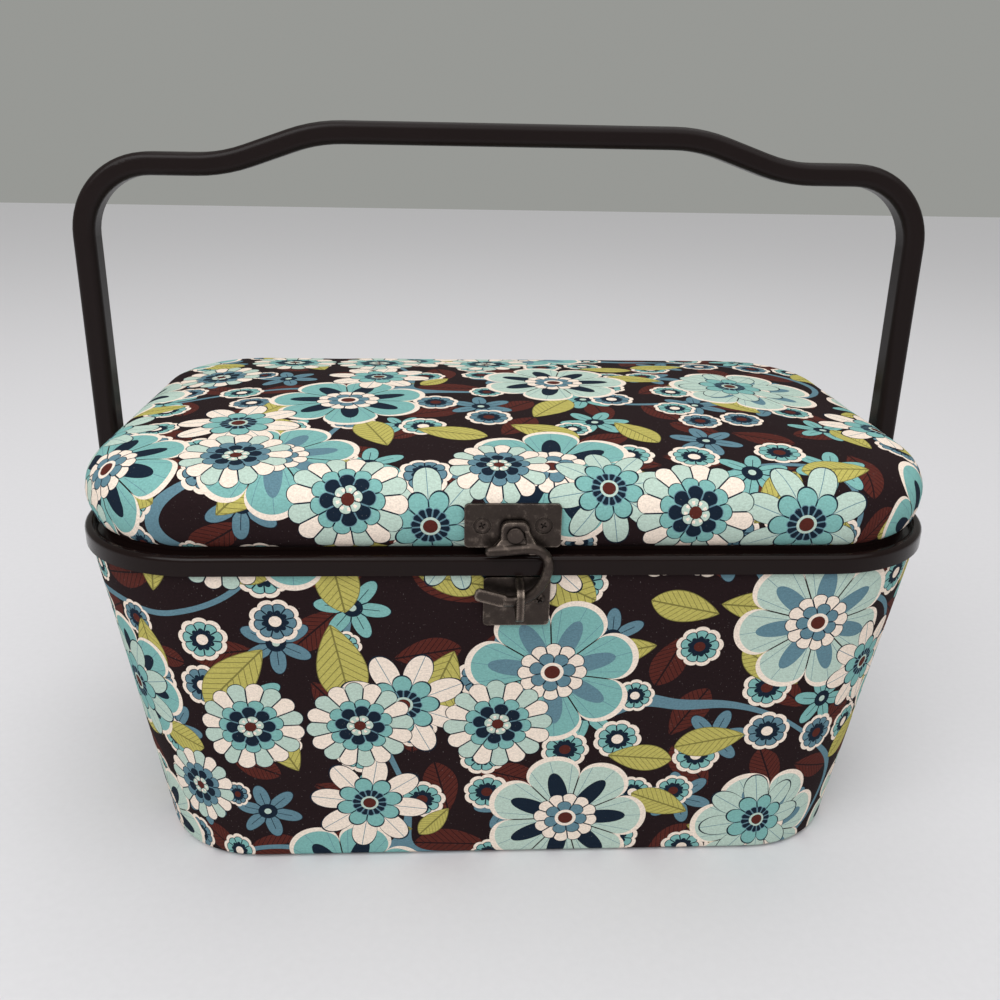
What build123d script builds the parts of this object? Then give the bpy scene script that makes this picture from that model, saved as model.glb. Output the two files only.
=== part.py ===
# Sewing box: a tapered, fabric-covered box with a moulded rim, a padded hinged lid, a hook latch,
# a carrying handle and a lift-out tray.
# Millimetres. +X right, +Y back, +Z up. The origin is the middle of the underside, on the table.
from build123d import *
from math import asin, cos, degrees, radians, sin, tan
import os

os.makedirs("parts", exist_ok=True)

# Rim and walls
rim_w = 300.0
rim_d = 188.0
rim_corner_r = 46.0
rim_top = 131.0
bead_w = 4.0
bead_h = 2.6
bead_round = 1.8
band_h = 6.5
band_t = 1.2
band_to_cover = 0.4
rim_web_t = 2.0
lid_seat_w = 6.0
skirt_t = 1.3
skirt_gap = 0.4
wall_taper = 7.0
base_corner_r = 40.0
wall_t = 3.0
fabric_t = 0.8
hem_w = 14.0
bottom_t = 2.5
underside_t = 0.8
underside_inset = 3.0

# Lining of the storage well
glue_gap = 0.05
seat_gap = 0.3
thin_lining_t = 0.6
liner_t = 2.0
well_padding_t = 4.0
floor_pad_t = 4.5
floor_pad_crown = 1.5
floor_pad_round = 12.0

# Tray
tray_flange_t = 1.6
tray_depth = 29.0
tray_wall_t = 1.6
tray_side_gap = 0.8
tray_rim_clearance = 0.8
divider_t = 1.4
divider_drop = 3.0
tray_row_y = 14.0
front_dividers_x = (-48.0, 48.0)
back_dividers_x = (0.0,)

# Lid
lid_bottom = 132.6
lid_waist_z = 143.5
lid_bulge_inset = 1.8
lid_shoulder_r = 15.0
lid_shoulder_h = 14.0
lid_tuck_h = 18.0
lid_crown = 4.2
lid_foam_t = 3.7
lid_pan_t = 2.2
lid_lining_t = 2.5
lid_hem_w = 6.0
lid_ring_foot_inset = 6.2
lid_ring_foot_w = 3.4
lid_ring_flange_inset = 5.8
lid_ring_flange_w = 7.2
lid_ring_flange_t = 1.3

# Fittings inside the lid
pin_cushion_w = 72.0
pin_cushion_d = 62.0
pin_cushion_h = 13.0
pin_cushion_x = 92.0
pocket_w = 140.0
pocket_d = 72.0
pocket_t = 3.4
pocket_x = -38.0
pocket_y = -14.0
elastic_w = 7.0
elastic_t = 1.2
elastic_end = 6.0

# Fixing screws
screw_head_r = 1.9
screw_head_h = 0.8
screw_shank_r = 1.0
cross_w = 0.55
cross_l = 2.2
cross_depth = 0.7
flat_cross_depth = 0.45
hole_clearance = 0.05
cover_hole_clearance = 0.1
screw_turns = (22.0, 61.0, 38.0, 79.0)

# Latch
plate_t = 1.2
plate_sink = 0.6
plate_corner_r = 1.5
latch_plate_w = 31.2
latch_plate_h = 14.8
latch_plate_x = -1.8
latch_plate_z = 141.4
latch_screw_pitch = 19.8
dish_r = 2.9
dish_depth = 0.35
pivot_x = -1.2
pivot_z = 139.3
pivot_r = 1.6
pivot_head_r = 2.65
pivot_head_t = 1.0
hub_t = 2.6
hub_w = 9.2
hub_h = 8.4
hub_gap = 0.3
running_gap = 0.05
hook_bar_r = 1.75
hook_bar_lift = 1.6
hook_tail_x = -9.2
hook_top_z = 134.6
hook_top_x = 3.2
hook_right_x = 9.6
hook_mid_z = 127.6
hook_low_x = 2.0
hook_low_z = 117.4
hook_neck_x = -4.5
hook_neck_z = 116.6
paddle_l = 8.4
paddle_h = 4.4
paddle_t = 1.7
paddle_rise = 16.0

# Keeper
keeper_w = 22.0
keeper_h = 18.6
keeper_below_band = 0.8
keeper_screw_pitch = 15.0
keeper_screw_drop = 8.2
keeper_screw_dome = 1.1
loop_x = 0.6
loop_w = 2.7
loop_t = 1.6
loop_h = 12.2
loop_reach = 9.8
loop_rise = 3.1

# Hinges
hinge_x = 75.0
hinge_w = 26.0
knuckle_r = 2.6
hinge_pin_r = 1.2
hinge_axis_out = 3.6
hinge_axis_up = 2.0
knuckle_gap = 0.3
leaf_t = 1.2
body_leaf_h = 16.0
lid_leaf_h = 16.0
leaf_screw_pitch = 15.0
leaf_screw_edge = 5.0
leaf_band_gap = 0.3

# Handle
handle_to_rim = 1.8
handle_top = 262.3
handle_shoulder_drop = 11.8
handle_t = 8.2
handle_depth = 11.5
handle_edge_r = 2.6
handle_corner_r = 30.0
handle_shoulder_l = 16.0
handle_rise_run = 54.0
handle_rise_angle = 19.0
pin_below_band = 10.5
eye_r = 8.0
handle_pin_r = 2.5
handle_pin_head_r = 5.0
handle_pin_head_t = 1.8
handle_boss_r = 8.5
handle_boss_gap = 0.3
clip_r = 4.3
clip_t = 0.8
clip_gap = 0.1
clip_to_skirt = 0.7
clip_to_liner = 1.7

slope = tan(radians(wall_taper))
lean = cos(radians(wall_taper))
band_bottom = rim_top - band_h
seat_z = rim_top - bead_h
web_bottom = seat_z - rim_web_t
seat_inner = bead_w + lid_seat_w
wall_top = web_bottom - seat_gap
cover_offset = band_t + band_to_cover
liner_inset = fabric_t + wall_t + 2 * glue_gap
padding_inset = liner_inset + liner_t + glue_gap
well_inset = padding_inset + well_padding_t
floor_z = underside_t + fabric_t + glue_gap
handle_w = rim_w + 2 * (handle_to_rim + handle_t)
handle_rise_start = handle_w / 2 - handle_corner_r - handle_shoulder_l
handle_rise_end = handle_rise_start - handle_rise_run
handle_pivot_z = band_bottom - pin_below_band
skirt_bottom = handle_pivot_z + clip_r + clip_to_skirt
liner_top = handle_pivot_z - clip_r - clip_to_liner
hinge_y = rim_d / 2 + hinge_axis_out
hinge_z = rim_top + hinge_axis_up


def wall_size(z, inset=0.0):
    """Half width, half depth and corner radius of the covered wall at a height."""
    drop = (band_bottom - z) * slope + cover_offset + inset / lean
    top_r = rim_corner_r - cover_offset
    corner = base_corner_r + (top_r - base_corner_r) * z / band_bottom
    return rim_w / 2 - drop, rim_d / 2 - drop, corner - inset


def outline(half_w, half_d, r, z):
    return Pos(0, 0, z) * RectangleRounded(2 * half_w, 2 * half_d, r)


def tub(z0, z1, inset=0.0):
    """The tapered solid inside the wall, between two heights."""
    low = outline(*wall_size(z0, inset), z0)
    high = outline(*wall_size(z1, inset), z1)
    return loft([low, high], ruled=True)


def wall_ring(z0, z1, outer, inner):
    return tub(z0, z1, outer) - tub(z0 - 1, z1 + 1, inner)


def rim_slab(inset, z0, z1):
    """An upright slab with the rim's outline, drawn in by an inset."""
    face = outline(rim_w / 2 - inset, rim_d / 2 - inset, max(rim_corner_r - inset, 3), z0)
    return extrude(face, z1 - z0)


def rim_ring(outer, inner, z0, z1):
    return rim_slab(outer, z0, z1) - rim_slab(inner, z0 - 1, z1 + 1)


def lid_form(inset=0.0):
    """The lid's padded shape: tucked-in foot, round shoulder and low crown."""
    sections = []
    foot = -degrees(asin((lid_waist_z - lid_bottom) / lid_tuck_h))
    shoulder_inset = lid_bulge_inset + lid_shoulder_r
    for angle in [foot * share for share in (1, 0.75, 0.5, 0.25)] + list(range(0, 81, 10)):
        draw = shoulder_inset - (lid_shoulder_r - inset) * cos(radians(angle))
        height = lid_shoulder_h - inset if angle > 0 else lid_tuck_h
        sections.append((draw, lid_waist_z + height * sin(radians(angle))))
    crown_base = lid_waist_z + lid_shoulder_h
    span = rim_d / 2 - shoulder_inset
    for share in (0.05, 0.15, 0.3, 0.45, 0.62, 0.82):
        rise = lid_crown * (1 - (1 - share) ** 2)
        sections.append((shoulder_inset + span * share, crown_base + rise - inset))
    faces = [outline(rim_w / 2 - o, rim_d / 2 - o, max(rim_corner_r - o, 4), z) for o, z in sections]
    return loft(faces, ruled=True)


def lid_layer(outer, inner, z):
    """One layer of the lid, cut off below a height."""
    layer = lid_form(outer) - lid_form(inner)
    if z > lid_bottom:
        layer -= rim_slab(0, lid_bottom - 1, z)
    return layer


def lid_y(inset=0.0):
    """How far the lid's side stands from the middle at its waist."""
    return rim_d / 2 - lid_bulge_inset - inset


def facing(x, y, z, out):
    """A place whose local Z points outward along the given direction, with local X along +X or -X."""
    side = (1, 0, 0) if out[1] < 0 else (-1, 0, 0)
    return Plane(origin=(x, y, z), x_dir=side, z_dir=out).location


front = (0, -1, 0)
back = (0, 1, 0)
front_wall = (0, -lean, -slope * lean)
back_wall = (0, lean, -slope * lean)


def on_wall(x, z, out):
    y = wall_size(z)[1]
    return facing(x, -y if out[1] < 0 else y, z, out)


def cross_cut(depth):
    return Box(cross_l, cross_w, 2 * depth) + Box(cross_w, cross_l, 2 * depth)


def flat_screw(length, grow=0.0):
    """A countersunk cross-head screw, its head's top at z = 0 and its shank below."""
    head_r = screw_head_r + grow
    shank_r = screw_shank_r + grow
    half = Polyline((0, 0), (head_r, 0), (shank_r, -screw_head_h), (shank_r, -length), (0, -length), close=True)
    screw = revolve(Plane.XZ * make_face(half), Axis.Z)
    if grow:
        return screw
    return screw - cross_cut(flat_cross_depth)


def dome_screw(length):
    """A round-head cross screw, its head seated at z = 0."""
    ball_r = (screw_head_r ** 2 + keeper_screw_dome ** 2) / (2 * keeper_screw_dome)
    ball = Pos(0, 0, keeper_screw_dome - ball_r) * Sphere(ball_r)
    head = ball & Pos(0, 0, keeper_screw_dome / 2) * Box(9, 9, keeper_screw_dome)
    shank = Pos(0, 0, -length / 2) * Cylinder(screw_shank_r, length)
    return head + shank - Pos(0, 0, keeper_screw_dome) * cross_cut(cross_depth)


def screws(places, form, length):
    """One screw at each place, each stopped at its own turn."""
    return [at * Rot(0, 0, turn) * form(length) for at, turn in zip(places, screw_turns)]


def drill(r, length):
    return Pos(0, 0, -length / 2 + 2) * Cylinder(r, length + 4)


def write(shape, name):
    if not isinstance(shape, Compound):
        shape = Compound(children=[shape])
    shape.label = name
    export_step(shape, "parts/" + name + ".step")


# Places of the fixings
keeper_z = band_bottom - keeper_below_band - keeper_h * lean / 2
keeper_at = on_wall(0, keeper_z, front_wall)
keeper_screw_v = keeper_h / 2 - keeper_screw_drop
keeper_screws_at = [keeper_at * Pos(s * keeper_screw_pitch / 2, keeper_screw_v, plate_t) for s in (-1, 1)]
wall_screw_l = plate_t + fabric_t + wall_t - 0.2

plate_back_y = lid_y() - plate_sink
plate_front_y = plate_back_y + plate_t
latch_at = facing(latch_plate_x, -plate_front_y, latch_plate_z, front)
latch_screws_at = [latch_at * Pos(s * latch_screw_pitch / 2, 0, -dish_depth) for s in (-1, 1)]
lid_screw_l = plate_t + fabric_t + lid_foam_t + lid_pan_t - plate_sink - dish_depth - 0.4
pivot_l = lid_screw_l + dish_depth
pivot_at = facing(pivot_x, -plate_front_y, pivot_z, front)

body_leaf_z = band_bottom - keeper_below_band - body_leaf_h * lean / 2
body_leaf_screw_v = -body_leaf_h / 2 + leaf_screw_edge
lid_leaf_z = hinge_z + knuckle_r + 0.6 + lid_leaf_h / 2
lid_leaf_screw_v = lid_leaf_h / 2 - leaf_screw_edge


def leaf_screws_at(x, part):
    """Screw places of one hinge leaf, body leaf or lid leaf."""
    if part == "body":
        at = on_wall(x, body_leaf_z, back_wall) * Pos(0, body_leaf_screw_v, leaf_t)
    else:
        at = facing(x, lid_y() - plate_sink + leaf_t, lid_leaf_z, back) * Pos(0, lid_leaf_screw_v, 0)
    return [at * Pos(s * leaf_screw_pitch / 2, 0, 0) for s in (-1, 1)]


body_hinge_screws_at = [at for s in (-1, 1) for at in leaf_screws_at(s * hinge_x, "body")]
lid_hinge_screws_at = [at for s in (-1, 1) for at in leaf_screws_at(s * hinge_x, "lid")]


def screw_holes(places, clearance, length=12.0):
    return [at * drill(screw_shank_r + clearance, length) for at in places]


def pin_bores(r):
    across = Rot(0, 90, 0) * Cylinder(r, 2 * rim_w)
    return Pos(0, 0, handle_pivot_z) * across


# Box body
def make_underside():
    half_w, half_d, r = wall_size(0, underside_inset)
    return extrude(outline(half_w, half_d, r, 0), underside_t)


def wall_fixings(clearance):
    holes = screw_holes(keeper_screws_at + body_hinge_screws_at, clearance)
    return holes + [pin_bores(handle_pin_r + running_gap)]


def make_body_cover():
    skin = wall_ring(underside_t, wall_top, 0, fabric_t)
    hem = wall_ring(underside_t, underside_t + fabric_t, 0, hem_w)
    for hole in wall_fixings(cover_hole_clearance):
        skin -= hole
    return skin + hem


def make_wall_board():
    board = wall_ring(floor_z, wall_top, fabric_t + glue_gap, fabric_t + wall_t)
    for hole in wall_fixings(hole_clearance):
        board -= hole
    return board


def make_bottom_board():
    return tub(floor_z, floor_z + bottom_t, fabric_t + wall_t + glue_gap)


def make_rim():
    block = rim_ring(0, seat_inner, web_bottom, rim_top) - rim_slab(bead_w, seat_z, rim_top + 1)
    bead_edges = block.edges().filter_by(lambda e: abs(e.center().Z - rim_top) < 0.01)
    block = fillet(bead_edges, bead_round)
    band = rim_ring(0, band_t, band_bottom, web_bottom)
    skirt_out = cover_offset + (band_bottom - skirt_bottom) * slope
    skirt_out += (liner_inset + thin_lining_t) / lean + skirt_gap
    skirt = rim_ring(skirt_out, skirt_out + skirt_t, skirt_bottom, web_bottom)
    rim = block + band + skirt
    inner_x = rim_w / 2 - band_t
    outer_x = handle_w / 2 - handle_t - handle_boss_gap
    thick = outer_x - inner_x
    for side in (-1, 1):
        x = side * (inner_x + thick / 2)
        disc = Pos(x, 0, handle_pivot_z) * Rot(0, 90, 0) * Cylinder(handle_boss_r, thick)
        stem_h = web_bottom - handle_pivot_z
        stem = Pos(x, 0, handle_pivot_z + stem_h / 2) * Box(thick, 2 * handle_boss_r, stem_h)
        rim += disc + stem
    return rim - pin_bores(handle_pin_r + running_gap)


def make_liner_board():
    z0 = floor_z + bottom_t + glue_gap
    return wall_ring(z0, liner_top, liner_inset, liner_inset + liner_t)


def make_well_lining():
    z0 = floor_z + bottom_t + glue_gap
    return wall_ring(z0, liner_top, padding_inset, well_inset)


def make_upper_lining():
    z1 = seat_z - rim_web_t - 0.6
    lining = wall_ring(liner_top + seat_gap, z1, liner_inset, liner_inset + thin_lining_t)
    return lining - pin_bores(handle_pin_r + running_gap)


def make_floor_pad():
    """A quilted pad: low at its edge, crowned in the middle."""
    z0 = floor_z + bottom_t + glue_gap
    draws = ((0.6, 0), (0, 0.35), (0.8, 0.7), (3, 0.9), (floor_pad_round, 1), (3 * floor_pad_round, 1.25))
    faces = []
    for draw, share in draws:
        z = z0 + floor_pad_t * min(share, 1) + floor_pad_crown * max(share - 1, 0) * 4
        half_w, half_d, r = wall_size(z0, well_inset + seat_gap)
        faces.append(outline(half_w - draw, half_d - draw, max(r - draw, 4), z))
    return loft(faces, ruled=True)


# Tray
tray_seat_z = liner_top + seat_gap
tray_top = tray_seat_z + tray_flange_t
tray_floor_z = tray_top - tray_depth


def tray_size(z, inset):
    return wall_size(z, well_inset + tray_side_gap + inset)


def tray_block(z0, z1, inset):
    low = outline(*tray_size(z0, inset), z0)
    high = outline(*tray_size(z1, inset), z1)
    return loft([low, high], ruled=True)


def make_tray():
    shell = tray_block(tray_floor_z, tray_top, 0)
    edge = seat_inner + tray_rim_clearance
    flange = rim_slab(edge, tray_seat_z, tray_top)
    well = tray_block(tray_floor_z + tray_wall_t, tray_top + 1, tray_wall_t)
    divider_top = tray_top - divider_drop
    divider_h = divider_top - tray_floor_z - tray_wall_t
    z = tray_floor_z + tray_wall_t + divider_h / 2
    walls = Pos(0, tray_row_y, z) * Box(rim_w, divider_t, divider_h)
    for x in front_dividers_x:
        walls += Pos(x, tray_row_y - rim_d / 2, z) * Box(divider_t, rim_d, divider_h)
    for x in back_dividers_x:
        walls += Pos(x, tray_row_y + rim_d / 2, z) * Box(divider_t, rim_d, divider_h)
    tray = (shell + flange) - well
    return tray + (walls & tray_block(tray_floor_z + tray_wall_t, divider_top, tray_wall_t / 2))


# Lid
foam_inset = fabric_t + glue_gap
pan_inset = foam_inset + lid_foam_t + glue_gap
lining_inset = pan_inset + lid_pan_t + glue_gap
hollow_inset = lining_inset + lid_lining_t
layer_z = lid_bottom + fabric_t + glue_gap


def plate_pocket(at, w, h, t):
    return at * Pos(0, 0, -t / 2 + 5 - glue_gap) * Box(w + 2 * glue_gap, h + 2 * glue_gap, t + 10)


def lid_pockets():
    """Room that the plates press into the padding."""
    cuts = [plate_pocket(latch_at, latch_plate_w, latch_plate_h, plate_t)]
    for side in (-1, 1):
        at = facing(side * hinge_x, lid_y() - plate_sink + leaf_t, lid_leaf_z, back)
        cuts.append(plate_pocket(at, hinge_w, lid_leaf_h, leaf_t))
    return cuts


def lid_fixings():
    cuts = screw_holes(latch_screws_at + lid_hinge_screws_at, hole_clearance, 14.0)
    return cuts + [pivot_at * drill(pivot_r + hole_clearance, pivot_l + plate_t)]


def make_lid_cover():
    skin = lid_layer(0, fabric_t, lid_bottom)
    hem_slab = Pos(0, 0, lid_bottom + fabric_t / 2) * Box(2 * rim_w, 2 * rim_d, fabric_t)
    foot_inset = rim_w / 2 - lid_ring_flange_inset - lid_hem_w
    hem = (lid_form() & hem_slab) - rim_slab(rim_w / 2 - foot_inset, lid_bottom - 1, lid_bottom + 3)
    cover = skin + hem
    for cut in lid_pockets() + lid_fixings():
        cover -= cut
    return cover


def make_lid_foam():
    foam = lid_layer(foam_inset, foam_inset + lid_foam_t, layer_z)
    for cut in lid_pockets() + lid_fixings():
        foam -= cut
    return foam


def make_lid_pan():
    pan = lid_layer(pan_inset, pan_inset + lid_pan_t, layer_z)
    for cut in lid_fixings():
        pan -= cut
    return pan


def make_lid_lining():
    return lid_layer(lining_inset, hollow_inset, layer_z)


def make_lid_ring():
    foot_in = lid_ring_foot_inset + lid_ring_foot_w
    foot = rim_ring(lid_ring_foot_inset, foot_in, seat_z + seat_gap, lid_bottom - glue_gap)
    flange_in = lid_ring_flange_inset + lid_ring_flange_w
    flange_z = lid_bottom - glue_gap - lid_ring_flange_t
    return foot + rim_ring(lid_ring_flange_inset, flange_in, flange_z, lid_bottom - glue_gap)


def lid_ceiling(inset):
    """Height of the lining under the crown, at an inset from the lid's edge."""
    span = rim_d / 2 - lid_bulge_inset - lid_shoulder_r
    share = (inset - lid_bulge_inset - lid_shoulder_r) / span
    return lid_waist_z + lid_shoulder_h + lid_crown * (1 - (1 - share) ** 2) - hollow_inset


def make_pin_cushion():
    """A stuffed cushion with a crown and drawn-in sides, hanging from the lining."""
    top = lid_ceiling(rim_w / 2 - pin_cushion_x - pin_cushion_w / 2) - seat_gap
    faces = []
    for draw, share in ((5, 0), (1, 0.22), (0, 0.45), (4, 0.75), (13, 0.94), (24, 1)):
        z = top - pin_cushion_h * share
        r = max(pin_cushion_d / 2 - 8 - draw, 4)
        face = RectangleRounded(pin_cushion_w - 2 * draw, pin_cushion_d - 2 * draw, r)
        faces.append(Pos(pin_cushion_x, 0, z) * face)
    return loft(faces, ruled=True)


pocket_inset = min(rim_w / 2 - abs(pocket_x) - pocket_w / 2, rim_d / 2 - abs(pocket_y) - pocket_d / 2)
pocket_z = lid_ceiling(pocket_inset) - seat_gap


def make_lid_pocket():
    """A gathered pocket, a thin pillow against the lining."""
    faces = []
    for draw, share in ((1.5, 0), (0, 0.5), (5, 1)):
        face = RectangleRounded(pocket_w - 2 * draw, pocket_d - 2 * draw, 8)
        faces.append(Pos(pocket_x, pocket_y, pocket_z - pocket_t * share) * face)
    return loft(faces, ruled=True)


def make_pocket_elastic():
    """The band along the pocket's mouth, on the side that is up when the lid is open."""
    y = pocket_y - pocket_d / 2 - elastic_w / 2 - 0.2
    top = lid_ceiling(rim_d / 2 + y - elastic_w / 2) - seat_gap
    return Pos(pocket_x, y, top - elastic_t / 2) * Box(pocket_w - elastic_end, elastic_w, elastic_t)


# Latch
def make_latch_plate():
    face = RectangleRounded(latch_plate_w, latch_plate_h, plate_corner_r)
    plate = latch_at * Pos(0, 0, -plate_t) * extrude(face, plate_t)
    for at in latch_screws_at:
        dish = at * Pos(0, 0, dish_depth / 2) * Cylinder(dish_r, dish_depth)
        seat = at * flat_screw(6.0, hole_clearance)
        plate = plate - dish - seat
    return plate - pivot_at * drill(pivot_r + hole_clearance, 6)


def make_latch_pivot():
    shank_l = pivot_l + hub_gap + hub_t + running_gap
    top = hub_gap + hub_t + running_gap
    shank = Pos(0, 0, top - shank_l / 2) * Cylinder(pivot_r, shank_l)
    head = Pos(0, 0, top + pivot_head_t / 2) * Cylinder(pivot_head_r, pivot_head_t)
    edge = head.edges().sort_by(Axis.Z)[-1]
    return pivot_at * (shank + fillet(edge, 0.3))


def make_latch_hook():
    """The swinging hook, drawn flat and stood on the latch plate's face."""
    hub_low = hub_gap
    hub = Pos(0, 0, hub_low) * extrude(RectangleRounded(hub_w, hub_h, 2.4), hub_t)
    bar_z = hub_gap + hub_t + hook_bar_lift - hook_bar_r / 2
    zero = (pivot_x, pivot_z)

    def spot(x, z):
        return (x - zero[0], z - zero[1], bar_z)

    tail = spot(hook_tail_x, hook_top_z - 0.6)
    top_end = spot(hook_top_x, hook_top_z + 0.4)
    right = spot(hook_right_x, hook_mid_z)
    low = spot(hook_low_x, hook_low_z)
    neck = spot(hook_neck_x, hook_neck_z)
    line = Line(tail, top_end)
    upper = TangentArc(top_end, right, tangent=line % 1)
    lower = Spline(right, low, neck, tangents=[upper % 1, (-1, 0.12, 0)])
    path = Wire([line, upper, lower])
    start = Plane(origin=tail, z_dir=line % 0)
    bar = sweep(start * Circle(hook_bar_r), path=path)
    tail_ball = Pos(*tail) * Sphere(hook_bar_r)
    blade = extrude(RectangleRounded(paddle_l + 3, paddle_h, 1.8), paddle_t)
    blade = Pos(0, 0, -paddle_t / 2) * blade
    turned = Pos(*neck) * Rot(0, 0, -paddle_rise) * Pos(-paddle_l / 2, 0, 0) * blade
    root = Pos(0, -hub_h / 2, (hub_low + bar_z) / 2) * Box(hub_w * 0.8, 3.0, bar_z - hub_low)
    hook = hub + bar + tail_ball + turned + root
    hook -= Cylinder(pivot_r + running_gap, 20)
    return pivot_at * hook


def make_keeper_plate():
    face = RectangleRounded(keeper_w, keeper_h, plate_corner_r)
    plate = keeper_at * extrude(face, plate_t)
    for hole in screw_holes(keeper_screws_at, hole_clearance):
        plate -= hole
    return plate


def make_keeper_loop():
    """A strap bent into a loop that stands out from the keeper plate."""
    outer = RectangleRounded(loop_h, 2 * loop_reach, 3.4)
    inner = RectangleRounded(loop_h - 2 * loop_t, 2 * (loop_reach - loop_t), 3.4 - loop_t)
    strap = extrude(outer - inner, loop_w)
    keep = Pos(0, loop_reach, loop_w / 2) * Box(2 * loop_h, 2 * loop_reach, 2 * loop_w)
    strap = strap & keep
    upright = Plane(origin=(loop_x - loop_w / 2, 0, 0), x_dir=(0, 1, 0), z_dir=(1, 0, 0)).location
    return keeper_at * Pos(0, loop_rise, plate_t) * upright * strap


# Hinges
def knuckles(spans):
    """Barrels along the hinge axis; each span is a start and an end along X."""
    barrels = []
    for x0, x1 in spans:
        barrel = Cylinder(knuckle_r, x1 - x0) - Cylinder(hinge_pin_r + running_gap, x1 - x0 + 2)
        barrels.append(Pos((x0 + x1) / 2, hinge_y, hinge_z) * Rot(0, 90, 0) * barrel)
    return barrels


third = hinge_w / 3


def hinge_bore(x):
    return Pos(x, hinge_y, hinge_z) * Rot(0, 90, 0) * Cylinder(hinge_pin_r + running_gap, hinge_w + 4)


def make_body_leaf(x):
    at = on_wall(x, body_leaf_z, back_wall)
    plate = at * extrude(RectangleRounded(hinge_w, body_leaf_h, plate_corner_r), leaf_t)
    band_y = rim_d / 2 + leaf_band_gap
    low_z = band_bottom - keeper_below_band - 2.4
    wall_y = wall_size(low_z + 2)[1] + 0.1
    side = Plane(origin=(x - hinge_w / 2, 0, 0), x_dir=(0, 1, 0), z_dir=(1, 0, 0))
    bend = Polygon((wall_y, low_z), (wall_y + leaf_t, low_z), (band_y + leaf_t, band_bottom),
                   (band_y + leaf_t, hinge_z), (band_y, hinge_z), (band_y, band_bottom - 0.4),
                   (wall_y, low_z + 1.6), align=None)
    leaf = plate + extrude(side * bend, hinge_w, dir=(1, 0, 0))
    gap = Pos(x, hinge_y, hinge_z) * Box(third + 2 * knuckle_gap, 3 * knuckle_r, 2 * knuckle_r + 0.8)
    leaf -= gap
    h = hinge_w / 2
    for barrel in knuckles(((x - h, x - third / 2 - knuckle_gap), (x + third / 2 + knuckle_gap, x + h))):
        leaf += barrel
    leaf -= hinge_bore(x)
    for hole in leaf_screws_at(x, "body"):
        leaf -= hole * flat_screw(8.0, hole_clearance)
    return leaf


def make_lid_leaf(x):
    y0 = lid_y() - plate_sink
    at = facing(x, y0 + leaf_t, lid_leaf_z, back)
    face = RectangleRounded(hinge_w, lid_leaf_h, plate_corner_r)
    plate = at * Pos(0, 0, -leaf_t) * extrude(face, leaf_t)
    foot_z = lid_leaf_z - lid_leaf_h / 2
    side = Plane(origin=(x - third / 2, 0, 0), x_dir=(0, 1, 0), z_dir=(1, 0, 0))
    bend = Polygon((y0, foot_z + 0.4), (y0, foot_z + 2.4), (y0 + leaf_t, foot_z + 2.4),
                   (hinge_y + knuckle_r * 0.6, hinge_z + knuckle_r * 0.6),
                   (hinge_y - knuckle_r * 0.2, hinge_z + knuckle_r * 0.3), align=None)
    leaf = plate + extrude(side * bend, third, dir=(1, 0, 0))
    for barrel in knuckles(((x - third / 2, x + third / 2),)):
        leaf += barrel
    leaf -= hinge_bore(x)
    for hole in leaf_screws_at(x, "lid"):
        leaf -= hole * flat_screw(9.0, hole_clearance)
    return leaf


def make_hinge_pin(x):
    pin = Cylinder(hinge_pin_r, hinge_w + 1.0)
    return Pos(x, hinge_y, hinge_z) * Rot(0, 90, 0) * pin


# Handle
def handle_path():
    x_leg = handle_w / 2 - handle_t / 2
    z_grip = handle_top - handle_t / 2
    z_shoulder = z_grip - handle_shoulder_drop
    r = handle_corner_r - handle_t / 2
    a = radians(handle_rise_angle)
    run = handle_rise_start - handle_rise_end
    arc_r = (run * tan(a) - handle_shoulder_drop) / (2 * sin(a) * tan(a) - 2 * (1 - cos(a)))
    dx, dz = arc_r * sin(a), arc_r * (1 - cos(a))
    spots = [(x_leg, handle_pivot_z), (x_leg, z_shoulder - r)]
    corner = (x_leg - r, z_shoulder)
    mid = (x_leg - r + r * cos(radians(45)), z_shoulder - r + r * sin(radians(45)))
    s0 = (handle_rise_start, z_shoulder)
    s1 = (handle_rise_start - dx, z_shoulder + dz)
    s2 = (handle_rise_end + dx, z_grip - dz)
    s3 = (handle_rise_end, z_grip)
    half = radians(handle_rise_angle / 2)
    m0 = (s0[0] - arc_r * sin(half), s0[1] + arc_r * (1 - cos(half)))
    m1 = (s3[0] + arc_r * sin(half), s3[1] - arc_r * (1 - cos(half)))

    def at(p, side):
        return (side * p[0], 0, p[1])

    right = [Line(at(spots[0], 1), at(spots[1], 1)),
             ThreePointArc(at(spots[1], 1), at(mid, 1), at(corner, 1)),
             Line(at(corner, 1), at(s0, 1)), ThreePointArc(at(s0, 1), at(m0, 1), at(s1, 1)),
             Line(at(s1, 1), at(s2, 1)), ThreePointArc(at(s2, 1), at(m1, 1), at(s3, 1))]
    left = [ThreePointArc(at(s3, -1), at(m1, -1), at(s2, -1)), Line(at(s2, -1), at(s1, -1)),
            ThreePointArc(at(s1, -1), at(m0, -1), at(s0, -1)), Line(at(s0, -1), at(corner, -1)),
            ThreePointArc(at(corner, -1), at(mid, -1), at(spots[1], -1)),
            Line(at(spots[1], -1), at(spots[0], -1))]
    return Wire(right + [Line(at(s3, 1), at(s3, -1))] + left)


def make_handle():
    path = handle_path()
    x_leg = handle_w / 2 - handle_t / 2
    section = Pos(x_leg, 0, handle_pivot_z) * RectangleRounded(handle_t, handle_depth, handle_edge_r)
    bail = sweep(section, path=path)
    for side in (-1, 1):
        eye = Pos(side * x_leg, 0, handle_pivot_z) * Rot(0, 90, 0) * Cylinder(eye_r, handle_t)
        bail += fillet(eye.edges(), 1.2)
    return bail - pin_bores(handle_pin_r + running_gap)


pin_inner_x = wall_size(handle_pivot_z, liner_inset + thin_lining_t)[0]
clip_x = pin_inner_x - clip_r * slope - clip_gap - clip_t / 2


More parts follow.
